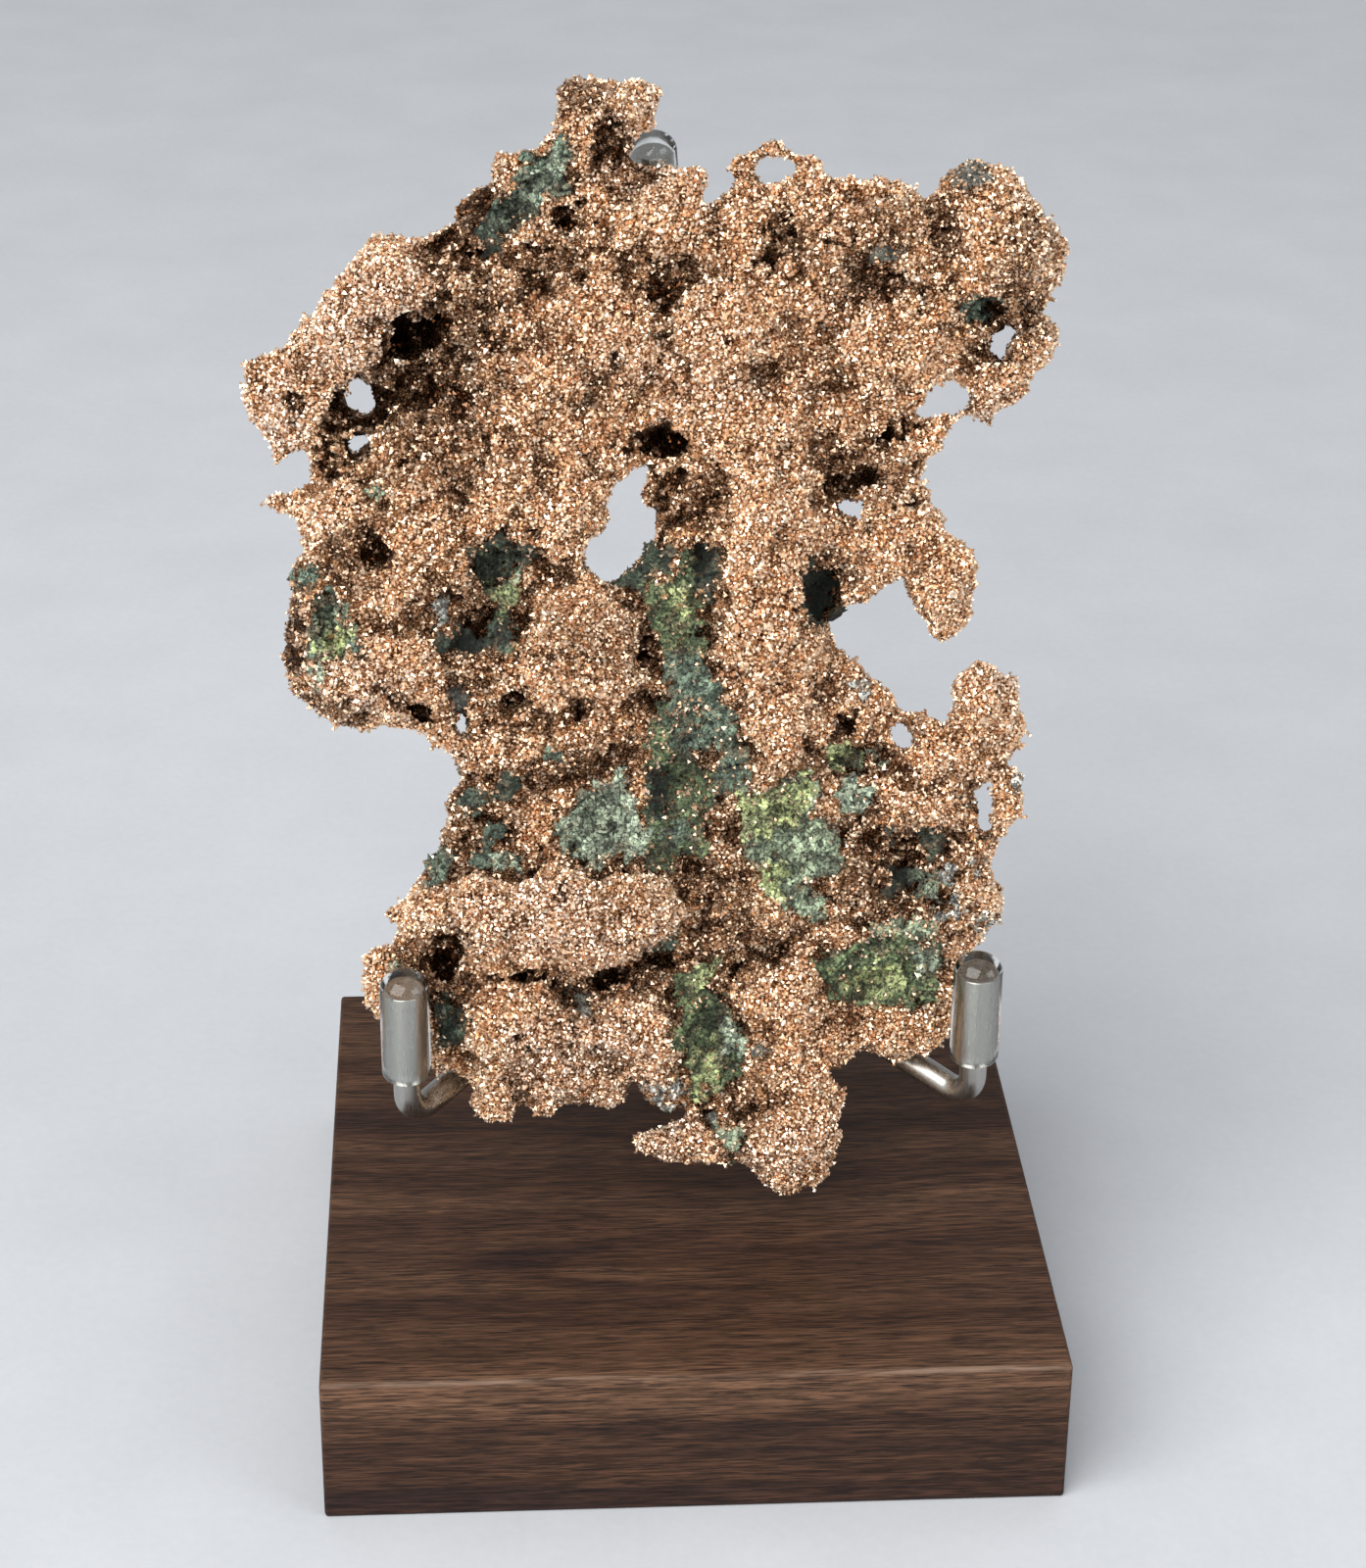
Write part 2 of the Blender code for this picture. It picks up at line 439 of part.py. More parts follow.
def build_caps(material):
    for arm in ARMS:
        build_cap(arm.name + "_arm_cap", cap_run(arm_path(arm)), material)
    build_cap("post_cap", cap_run(post_path(BASE_HEIGHT)), material)


def loop_bmesh():
    """Flat face-on sheet bounded by the outline, with its windows left open."""
    points, edges = [], []
    for loop in LOOPS:
        first = len(points)
        points += [Vector(point) for point in loop]
        edges += [(first + i, first + (i + 1) % len(loop)) for i in range(len(loop))]
    flat, _, faces, _, _, _ = delaunay_2d_cdt(points, edges, [], 1, 1e-4)
    bm = bmesh.new()
    verts = [bm.verts.new((point.x * MM, 0, point.y * MM)) for point in flat]
    for face in faces:
        middle = sum((flat[i] for i in face), Vector((0, 0))) / len(face)
        if inside_sheet(middle.x, middle.y):
            bm.faces.new([verts[i] for i in face])
    loose = [vert for vert in bm.verts if not vert.link_faces]
    bmesh.ops.delete(bm, geom=loose, context="VERTS")
    return bm


def inside_sheet(u, v):
    """True on the sheet, counting how many of its edges lie to the right of (u, v)."""
    start_u, start_v = EDGE_STARTS.T
    run_u, run_v = EDGE_RUNS.T
    spans = (start_v > v) != (start_v + run_v > v)
    with np.errstate(divide="ignore", invalid="ignore"):
        crossing = start_u + (v - start_v) * run_u / run_v
    return bool(np.count_nonzero(spans & (crossing > u)) % 2)


def edge_distance(u, v):
    """Distance from (u, v) to the nearest edge of the outline or a window."""
    offset = np.array((u, v)) - EDGE_STARTS
    along = np.clip((offset * EDGE_RUNS).sum(axis=1) / (EDGE_RUNS**2).sum(axis=1), 0.0, 1.0)
    return float(np.linalg.norm(offset - EDGE_RUNS * along[:, None], axis=1).min())


def prism(name, half_depth):
    """The sheet's outline as a straight block, front and back of w = 0."""
    bm = loop_bmesh()
    bmesh.ops.translate(bm, vec=(0, half_depth * MM, 0), verts=bm.verts)
    grown = bmesh.ops.extrude_face_region(bm, geom=bm.faces[:])
    moved = [item for item in grown["geom"] if isinstance(item, bmesh.types.BMVert)]
    bmesh.ops.translate(bm, vec=(0, -2 * half_depth * MM, 0), verts=moved)
    bmesh.ops.recalc_face_normals(bm, faces=bm.faces)
    return add_object(name, mesh_from(bm, name))


def add_ellipsoid(bm, u, v, w, wide, high, deep, turn=0.0):
    detail = 3 if max(wide, high, deep) > 5 else 2
    place = (
        Matrix.Translation(Vector((u, -w, v)) * MM)
        @ Matrix.Rotation(-math.radians(turn), 4, "Y")
        @ Matrix.Diagonal((wide, deep, high, 1.0))
    )
    bmesh.ops.create_icosphere(bm, subdivisions=detail, radius=MM, matrix=place)


def sheet_bend(u, v):
    """How far the middle of the sheet stands in front of its flat plane."""
    rise = 2.6 * (max(v, 0.0) / 125.0) ** 2
    left = -2.0 * max(0.0, -44.0 - u) / 14.0
    wave = 1.3 * noise.noise(Vector((u / 21.0, v / 21.0, 4.2)))
    return rise + left + wave


def fill_balls():
    """Rows of small balls all over the sheet, smaller near its edges."""
    meshes = []
    for row in range(-6, int(150 / BALL_SPACING)):
        bm = bmesh.new()
        for column in range(-18, 17):
            shift = noise.noise_vector(Vector((row * 1.7, column * 1.3, 0.5)))
            u = (column + 0.5 * (row % 2)) * BALL_SPACING + shift.x
            v = row * BALL_SPACING + shift.y
            if inside_sheet(u, v):
                radius = min(BALL_RADIUS, max(EDGE_RADIUS, 1.05 * edge_distance(u, v)))
                add_ellipsoid(bm, u, v, 0.9 * shift.z, radius, radius, 0.9 * radius)
        meshes.append(mesh_from(bm, "balls"))
    return meshes


def edge_beads():
    """Beads just inside the edges, which round them off."""
    meshes = []
    for start, run in zip(EDGE_STARTS, EDGE_RUNS):
        bm = bmesh.new()
        a, run = Vector(start), Vector(run)
        inward = Vector((run.y, -run.x)).normalized()
        if not inside_sheet(*(a + run / 2 + inward * 0.3)):
            inward = -inward
        count = max(1, round(run.length / BEAD_SPACING))
        for i in range(count):
            place = a + run * ((i + 0.5) / count) + inward * 0.7 * EDGE_RADIUS
            add_ellipsoid(bm, place.x, place.y, 0, EDGE_RADIUS, EDGE_RADIUS, 1.2 * EDGE_RADIUS)
        meshes.append(mesh_from(bm, "beads"))
    return meshes


def lump_mesh(name, lumps, towards=1):
    """Ellipsoids for the lumps, which reach their w from behind, or from in front."""
    bm = bmesh.new()
    for lump in lumps:
        w = lump.front - towards * lump.deep
        add_ellipsoid(bm, lump.u, lump.v, w, lump.wide, lump.high, lump.deep, lump.turn)
    return mesh_from(bm, name)


def fuse(obj, voxel):
    """Melts an object's overlapping shapes into one skin."""
    modifier = obj.modifiers.new("fuse", "REMESH")
    modifier.mode = "VOXEL"
    modifier.voxel_size = voxel * MM


def bake(obj):
    """Applies every modifier and drops the helpers that they used."""
    helpers = [modifier.object for modifier in obj.modifiers if modifier.type == "BOOLEAN"]
    mesh = evaluated_mesh(obj)
    obj.modifiers.clear()
    obj.data = mesh
    for helper in helpers:
        bpy.data.objects.remove(helper, do_unlink=True)


def add_meshes(obj, meshes):
    """Adds the shapes of the meshes to obj's own, still as separate bodies."""
    bm = bmesh.new()
    for mesh in (obj.data, *meshes):
        bm.from_mesh(mesh)
    bm.to_mesh(obj.data)
    bm.free()


def keep_largest_body(obj):
    """Drops loose crumbs and the walls of sealed bubbles."""
    bm = bmesh.new()
    bm.from_mesh(obj.data)
    seen, bodies = set(), []
    for start in bm.verts:
        if start in seen:
            continue
        body, edge_of_search = [], [start]
        seen.add(start)
        while edge_of_search:
            vert = edge_of_search.pop()
            body.append(vert)
            for edge in vert.link_edges:
                other = edge.other_vert(vert)
                if other not in seen:
                    seen.add(other)
                    edge_of_search.append(other)
        bodies.append(body)
    bodies.sort(key=len)
    spare = [vert for body in bodies[:-1] for vert in body]
    bmesh.ops.delete(bm, geom=spare, context="VERTS")
    bm.to_mesh(obj.data)
    bm.free()


def settle(point):
    """Where a face-on point comes to lie on the stand, in metres."""
    u, v, w = point.x / MM, point.z / MM, -point.y / MM
    foot = Vector((u, SEAT_Y + v * math.sin(LEAN), SEAT_Z + v * math.cos(LEAN)))
    out = Vector((0, -math.cos(LEAN), math.sin(LEAN)))
    sight = FOCUS - foot
    return (foot + sight * ((w + sheet_bend(u, v)) / sight.dot(out))) * MM


def add_roughness(obj, name, scale, strength):
    """Uneven knobs of about the given size over the whole skin."""
    texture = bpy.data.textures.new(name, "CLOUDS")
    texture.noise_scale = scale * MM
    texture.noise_depth = 1
    modifier = obj.modifiers.new(name, "DISPLACE")
    modifier.texture = texture
    modifier.texture_coords = "LOCAL"
    modifier.strength = strength * MM
    modifier.mid_level = 0.5


def build_nugget(material):
    """Fuses the sheet and its lumps, cuts the pits and windows, and sets it up."""
    nugget = prism("copper_nugget", SHEET_HALF)
    front = lump_mesh("front_lumps", FRONT_LUMPS)
    back = lump_mesh("back_lumps", BACK_LUMPS, towards=-1)
    add_meshes(nugget, [*fill_balls(), *edge_beads(), front, back])
    fuse(nugget, FUSE_VOXEL)
    add_roughness(nugget, "knobs", KNOB_SIZE, KNOB_HEIGHT)
    fuse(nugget, FUSE_VOXEL)
    bake(nugget)

    pits = add_object("pits", lump_mesh("pits", PITS, towards=-1))
    fuse(pits, FUSE_VOXEL)
    bake(pits)
    add_boolean(nugget, prism("edge_block", EDGE_BLOCK_HALF), "INTERSECT")
    add_boolean(nugget, pits, "DIFFERENCE")
    bake(nugget)
    fuse(nugget, SKIN_VOXEL)
    bake(nugget)
    keep_largest_body(nugget)

    for vert in nugget.data.vertices:
        vert.co = settle(vert.co)
    thin = nugget.modifiers.new("thin out", "DECIMATE")
    thin.ratio = NUGGET_TRIANGLES / (2 * len(nugget.data.polygons))
    bake(nugget)
    add_boolean(nugget, stand_clearance(), "DIFFERENCE")
    bake(nugget)
    keep_largest_body(nugget)
    nugget.data.materials.clear()
    nugget.data.materials.append(material)
    return nugget


def stand_clearance():
    """The rods and caps, FIT_GAP fatter all round."""
    paths = [post_path(BASE_HEIGHT), *(arm_path(arm) for arm in ARMS)]
    clearance = rod_along("clearance", paths[0], ROD_DIAMETER / 2 + FIT_GAP)
    for index, path in enumerate(paths):
        if index:
            rod = rod_along(f"rod_room_{index}", path, ROD_DIAMETER / 2 + FIT_GAP)
            add_boolean(clearance, rod, "UNION")
        cap = rod_along(f"cap_room_{index}", cap_run(path), CAP_DIAMETER / 2 + FIT_GAP)
        add_boolean(clearance, cap, "UNION")
    bake(clearance)
    return clearance


def main():
    clear_scene()
    walnut = make_material("walnut", (0.10, 0.055, 0.035), 0.45, 0.0)
    steel = make_material("brushed steel", (0.55, 0.55, 0.53), 0.32, 1.0)
    vinyl = make_material("clear vinyl", (0.90, 0.90, 0.86), 0.12, 0.0, transmission=0.9)
    copper = make_material("native copper", (0.76, 0.42, 0.24), 0.35, 1.0)
    build_base(walnut)
    build_frame(steel)
    build_caps(vinyl)
    build_nugget(copper)


main()
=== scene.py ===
"""Native copper nugget on its walnut, steel and clear vinyl display stand.

The nugget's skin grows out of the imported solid. Copper crystals and crumbs of
green rock are scattered over it. The steel frame and its clear caps are turned
and bent anew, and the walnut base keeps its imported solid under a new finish.
Lengths are written in millimetres and turned into metres by MM.
"""

import logging
import math
from dataclasses import dataclass, field
from enum import Enum
from typing import Optional

import bmesh
import bpy
import numpy as np
from mathutils import Euler, Matrix, Vector, noise


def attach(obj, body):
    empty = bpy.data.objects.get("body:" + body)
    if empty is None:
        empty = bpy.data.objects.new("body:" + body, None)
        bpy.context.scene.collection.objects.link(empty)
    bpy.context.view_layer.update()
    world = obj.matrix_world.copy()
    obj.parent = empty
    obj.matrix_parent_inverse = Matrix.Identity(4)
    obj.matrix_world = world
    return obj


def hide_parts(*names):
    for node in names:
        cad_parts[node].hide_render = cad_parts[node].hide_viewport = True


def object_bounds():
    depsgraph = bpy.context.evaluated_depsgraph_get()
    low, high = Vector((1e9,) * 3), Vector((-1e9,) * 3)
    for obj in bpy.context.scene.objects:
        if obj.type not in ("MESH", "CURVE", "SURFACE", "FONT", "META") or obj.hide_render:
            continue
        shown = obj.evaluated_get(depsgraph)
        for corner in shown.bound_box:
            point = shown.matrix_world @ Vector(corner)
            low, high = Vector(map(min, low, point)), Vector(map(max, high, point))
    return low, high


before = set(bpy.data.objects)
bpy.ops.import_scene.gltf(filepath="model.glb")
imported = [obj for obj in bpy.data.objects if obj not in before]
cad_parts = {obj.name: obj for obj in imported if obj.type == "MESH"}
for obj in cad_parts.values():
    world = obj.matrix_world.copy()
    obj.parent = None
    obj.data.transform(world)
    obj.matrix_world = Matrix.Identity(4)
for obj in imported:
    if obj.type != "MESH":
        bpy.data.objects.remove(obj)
CAD_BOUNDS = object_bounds()

LOG = logging.getLogger("nugget")
MM = 0.001
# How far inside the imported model's box every point of a new piece is held.
BOX_MARGIN = 0.02 * MM
# Fixes the draw of the noise that mottles and roughens the nugget.
NOISE_SEED = 4
Colour = tuple[float, float, float]


# --------------------------------------------------------------------------
# Node helpers
# --------------------------------------------------------------------------


class Wiring:
    """A node tree that is being wired up."""

    def __init__(self, tree: bpy.types.NodeTree) -> None:
        """Keeps the tree.

        Args:
            tree: The tree that new nodes go into.
        """
        self.tree = tree

    def add(self, kind: str, settings: Optional[dict] = None, **values: object) -> bpy.types.Node:
        """Adds a node and fills its input sockets.

        Args:
            kind: Blender's identifier of the node type.
            settings: Attributes of the node itself, such as operation.
            values: Input sockets by name, with _ for a space, or by number as
                i0, i1 and so on. A value may be a number, a colour or a socket.

        Returns:
            The new node.
        """
        node = self.tree.nodes.new(kind)
        for name, value in (settings or {}).items():
            setattr(node, name, value)
        for name, value in values.items():
            numbered = name[0] == "i" and name[1:].isdigit()
            socket = node.inputs[int(name[1:])] if numbered else node.inputs[name.replace("_", " ")]
            self.feed(socket, value)
        return node

    def feed(self, socket: bpy.types.NodeSocket, value: object) -> None:
        """Links a socket into another, or sets its value.

        Args:
            socket: The input socket.
            value: An output socket, a number or a tuple.
        """
        if isinstance(value, bpy.types.NodeSocket):
            self.tree.links.new(value, socket)
        elif isinstance(value, tuple) and socket.type == "RGBA":
            socket.default_value = (*value[:3], 1.0)
        else:
            socket.default_value = value

    def attribute(self, name: str) -> bpy.types.Node:
        """Adds a node that reads a named attribute of the mesh."""
        return self.add("ShaderNodeAttribute", {"attribute_name": name})

    def math(self, operation: str, first: object, second: object = 0.0) -> object:
        """Adds a Math node.

        Args:
            operation: Blender's name of the operation.
            first: Left number or socket.
            second: Right number or socket.

        Returns:
            The node's output socket.
        """
        return self.add("ShaderNodeMath", {"operation": operation}, i0=first, i1=second).outputs[0]

    def ramp(self, factor: object, stops: tuple[tuple[float, Colour], ...]) -> object:
        """Adds a colour ramp.

        Args:
            factor: Socket that picks the place on the ramp.
            stops: Places from 0 to 1 with their colours.

        Returns:
            The ramp's colour socket.
        """
        node = self.add("ShaderNodeValToRGB", None, Fac=factor)
        elements = node.color_ramp.elements
        while len(elements) < len(stops):
            elements.new(0.5)
        for element, (place, colour) in zip(elements, stops):
            element.position = place
            element.color = (*colour, 1.0)
        return node.outputs["Color"]

    def mix(self, factor: object, first: object, second: object, blend: str = "MIX") -> object:
        """Mixes two colours.

        Args:
            factor: How much of the second colour shows.
            first: Colour or socket under it.
            second: Colour or socket on top.
            blend: Blender's name of the blend mode.

        Returns:
            The mixed colour's socket.
        """
        node = self.add("ShaderNodeMix", {"data_type": "RGBA", "blend_type": blend})
        self.feed(node.inputs[0], factor)
        self.feed(node.inputs[6], first)
        self.feed(node.inputs[7], second)
        return node.outputs[2]

    def between(
        self, value: object, low: float, high: float, to_low: float = 0.0, to_high: float = 1.0
    ) -> object:
        """Stretches a value from one range to another and clamps it.

        Args:
            value: The socket to stretch.
            low: Value that becomes to_low.
            high: Value that becomes to_high.
            to_low: Result at low.
            to_high: Result at high.

        Returns:
            The result's socket.
        """
        node = self.add("ShaderNodeMapRange", {"clamp": True}, Value=value)
        names = ("From Min", "From Max", "To Min", "To Max")
        for name, number in zip(names, (low, high, to_low, to_high)):
            node.inputs[name].default_value = number
        return node.outputs[0]


def new_material(name: str) -> tuple[bpy.types.Material, Wiring, bpy.types.Node]:
    """Makes a material with one Principled shader.

    Args:
        name: The material's name.

    Returns:
        The material, its wiring and its Principled node.
    """
    material = bpy.data.materials.new(name)
    material.use_nodes = True
    wiring = Wiring(material.node_tree)
    return material, wiring, material.node_tree.nodes["Principled BSDF"]


def build_mottle_group() -> bpy.types.NodeTree:
    """Builds the shared group of uneven tone: broad clouds, fine specks and a bump height.

    Returns:
        The node group, with inputs Position, Clouds and Specks and
        outputs Clouds, Specks and Height.
    """
    tree = bpy.data.node_groups.new("uneven tone", "ShaderNodeTree")
    tree.interface.new_socket("Position", in_out="INPUT", socket_type="NodeSocketVector")
    for name, value in (("Clouds", 100.0), ("Specks", 1500.0)):
        socket = tree.interface.new_socket(name, in_out="INPUT", socket_type="NodeSocketFloat")
        socket.default_value = value
    for name in ("Clouds", "Specks", "Height"):
        tree.interface.new_socket(name, in_out="OUTPUT", socket_type="NodeSocketFloat")
    wiring = Wiring(tree)
    given = wiring.add("NodeGroupInput")
    clouds = wiring.add(
        "ShaderNodeTexNoise", None, Vector=given.outputs["Position"], Scale=given.outputs["Clouds"],
        Detail=4.0, Roughness=0.6,
    )
    specks = wiring.add(
        "ShaderNodeTexNoise", None, Vector=given.outputs["Position"], Scale=given.outputs["Specks"],
        Detail=2.0, Roughness=0.7,
    )
    height = wiring.math("ADD", clouds.outputs[0], wiring.math("MULTIPLY", specks.outputs[0], 0.6))
    result = wiring.add("NodeGroupOutput")
    wiring.feed(result.inputs["Clouds"], clouds.outputs[0])
    wiring.feed(result.inputs["Specks"], specks.outputs[0])
    wiring.feed(result.inputs["Height"], height)
    return tree


MOTTLE = build_mottle_group()


def add_mottle(wiring: Wiring, position: object, clouds: float, specks: float) -> bpy.types.Node:
    """Places the shared group of uneven tone in a material.

    Args:
        wiring: The material's wiring.
        position: Socket of the coordinates that the pattern lies in.
        clouds: How many broad clouds there are to a metre.
        specks: How many fine specks there are to a metre.

    Returns:
        The group's node.
    """
    return wiring.add(
        "ShaderNodeGroup", {"node_tree": MOTTLE}, Position=position, Clouds=clouds, Specks=specks
    )


# --------------------------------------------------------------------------
# Finishes
# --------------------------------------------------------------------------


@dataclass(frozen=True)
class WalnutFinish:
    """Oiled black walnut with its grain along X."""

    light: Colour = (0.112, 0.058, 0.033)
    middle: Colour = (0.047, 0.0215, 0.0118)
    dark: Colour = (0.019, 0.0090, 0.0075)
    pore: Colour = (0.010, 0.005, 0.004)
    # Colour of the painted highlight along the front top edge.
    painted_highlight_colour: Colour = (0.220, 0.150, 0.110)

    def material(self) -> bpy.types.Material:
        """Builds the wood.

        Returns:
            The material.
        """
        material, wiring, shader = new_material("oiled walnut")
        place = wiring.add("ShaderNodeTexCoord").outputs["Object"]
        parts = wiring.add("ShaderNodeSeparateXYZ", None, i0=place)
        sway = wiring.add("ShaderNodeTexNoise", None, Vector=place, Scale=11.0, Detail=2.0)
        shift = wiring.add("ShaderNodeVectorMath", {"operation": "MULTIPLY"}, i0=sway.outputs["Color"])
        shift.inputs[1].default_value = (0.0, 0.012, 0.006)
        swayed = wiring.add("ShaderNodeVectorMath", {"operation": "ADD"}, i0=place, i1=shift.outputs[0])
        bands = wiring.between(
            self._stretched(wiring, swayed.outputs[0], (0.06, 1.0, 1.4), 140.0), 0.25, 0.75, 0.36, 0.64
        )
        fibres = self._stretched(wiring, swayed.outputs[0], (0.040, 1.0, 1.0), 1300.0)
        threads = self._stretched(wiring, place, (0.050, 1.0, 1.0), 4200.0)
        pores = wiring.between(self._stretched(wiring, place, (0.060, 1.0, 1.0), 2900.0), 0.55, 0.62)
        # Painted shade: the sides grow darker towards the bottom.
        painted_low_shade = wiring.between(parts.outputs["Z"], 2.0 * MM, 21.5 * MM, -0.22, 0.03)
        # Painted light: the front strip of the top and the front face are made lighter.
        painted_front_light = wiring.between(parts.outputs["Y"], -40.0 * MM, -50.0 * MM, 0.0, 0.10)
        tone = wiring.math("ADD", bands, wiring.math("ADD", painted_low_shade, painted_front_light))
        tone = wiring.math("SUBTRACT", tone, self._flame(wiring, place, sway.outputs[0]))
        colour = wiring.ramp(tone, ((0.34, self.dark), (0.50, self.middle), (0.74, self.light)))
        grain = wiring.math(
            "MULTIPLY",
            wiring.between(threads, 0.4, 0.6, 0.55, 1.45),
            wiring.between(fibres, 0.36, 0.64, 0.72, 1.28),
        )
        colour = wiring.mix(1.0, colour, grain, "MULTIPLY")
        colour = wiring.mix(wiring.math("MULTIPLY", pores, 0.75), colour, self.pore)
        # Painted highlight: a pale line along the front top edge, broken up by the fibres.
        rim = wiring.math(
            "MULTIPLY",
            wiring.between(parts.outputs["Z"], 21.4 * MM, 22.0 * MM),
            wiring.between(parts.outputs["Y"], -49.9 * MM, -50.6 * MM),
        )
        painted_highlight = wiring.math("MULTIPLY", rim, wiring.between(fibres, 0.42, 0.62, 0.05, 0.75))
        wiring.feed(shader.inputs["Base Color"], wiring.mix(painted_highlight, colour, self.painted_highlight_colour))
        wiring.feed(shader.inputs["Roughness"], wiring.between(fibres, 0.3, 0.7, 0.44, 0.62))
        shader.inputs["Specular IOR Level"].default_value = 0.18
        height = wiring.math("SUBTRACT", threads, pores)
        bump = wiring.add("ShaderNodeBump", None, Height=height, Strength=0.35, Distance=0.08 * MM)
        wiring.feed(shader.inputs["Normal"], bump.outputs[0])
        return material

    @staticmethod
    def _flame(wiring: Wiring, place: object, sway: object) -> object:
        """Adds the pointed dark lines round a pin knot on the left of the top.

        Args:
            wiring: The material's wiring.
            place: Socket of the coordinates.
            sway: Socket of a slow noise that bends the lines.

        Returns:
            Socket of how much darker the wood is.
        """
        mapping = wiring.add("ShaderNodeMapping", None, Vector=place)
        mapping.inputs["Location"].default_value = (-0.0026, 0.025, 0.0)
        mapping.inputs["Scale"].default_value = (0.17, 1.0, 0.0)
        span = wiring.add("ShaderNodeVectorMath", {"operation": "LENGTH"}, i0=mapping.outputs[0])
        reach = wiring.math("ADD", span.outputs["Value"], wiring.between(sway, 0.3, 0.7, -0.003, 0.003))
        wave = wiring.math("COSINE", wiring.math("MULTIPLY", wiring.math("SUBTRACT", reach, 0.0068), 800.0))
        left = wiring.add("ShaderNodeSeparateXYZ", None, i0=place).outputs["X"]
        near = wiring.math(
            "MULTIPLY", wiring.between(left, 0.012, -0.012), wiring.between(reach, 0.019, 0.009)
        )
        return wiring.math("MULTIPLY", wiring.between(wave, 0.45, 1.0, 0.0, 0.15), near)

    @staticmethod
    def _stretched(
        wiring: Wiring, place: object, stretch: tuple[float, float, float], scale: float
    ) -> object:
        """Adds noise that is drawn out along the grain.

        Args:
            wiring: The material's wiring.
            place: Socket of the coordinates.
            stretch: How much each axis counts.
            scale: How many spots there are to a metre, across the grain.

        Returns:
            Socket of the noise.
        """
        mapping = wiring.add("ShaderNodeMapping", None, Vector=place)
        mapping.inputs["Scale"].default_value = stretch
        return wiring.add(
            "ShaderNodeTexNoise", None, Vector=mapping.outputs[0], Scale=scale, Detail=3.0, Roughness=0.6
        ).outputs[0]


@dataclass(frozen=True)
class SteelFinish:
    """Satin stainless rod, brushed along its length."""

    colour: Colour = (0.40, 0.395, 0.37)
    roughness: float = 0.30

    def material(self) -> bpy.types.Material:
        """Builds the steel.

        Returns:
            The material.
        """
        material, wiring, shader = new_material("satin steel")
        place = wiring.add("ShaderNodeTexCoord").outputs["Object"]
        along = wiring.add("ShaderNodeMapping", None, Vector=place)
        along.inputs["Scale"].default_value = (1.0, 0.5, 0.06)
        streaks = add_mottle(wiring, along.outputs[0], 900.0, 4200.0)
        colour = wiring.mix(
            streaks.outputs["Clouds"],
            tuple(part * 0.94 for part in self.colour),
            tuple(part * 1.05 for part in self.colour),
        )
        wiring.feed(shader.inputs["Base Color"], colour)
        shader.inputs["Metallic"].default_value = 1.0
        rough = wiring.between(
            streaks.outputs["Specks"], 0.3, 0.7, self.roughness - 0.07, self.roughness + 0.09
        )
        wiring.feed(shader.inputs["Roughness"], rough)
        bump = wiring.add(
            "ShaderNodeBump", None, Height=streaks.outputs["Height"], Strength=0.03, Distance=0.02 * MM
        )
        wiring.feed(shader.inputs["Normal"], bump.outputs[0])
        return material


@dataclass(frozen=True)
class VinylFinish:
    """Clear soft vinyl with a faint haze."""

    colour: Colour = (0.965, 0.975, 0.955)
    roughness: float = 0.03
    bend: float = 1.52

    def material(self) -> bpy.types.Material:
        """Builds the vinyl.

        Returns:
            The material.
        """
        material, wiring, shader = new_material("clear vinyl")
        place = wiring.add("ShaderNodeTexCoord").outputs["Object"]
        haze = add_mottle(wiring, place, 300.0, 2200.0)
        shader.inputs["Base Color"].default_value = (*self.colour, 1.0)
        shader.inputs["Transmission Weight"].default_value = 1.0
        shader.inputs["IOR"].default_value = self.bend
        rough = wiring.between(haze.outputs["Clouds"], 0.35, 0.65, self.roughness, self.roughness + 0.05)
        wiring.feed(shader.inputs["Roughness"], rough)
        return material


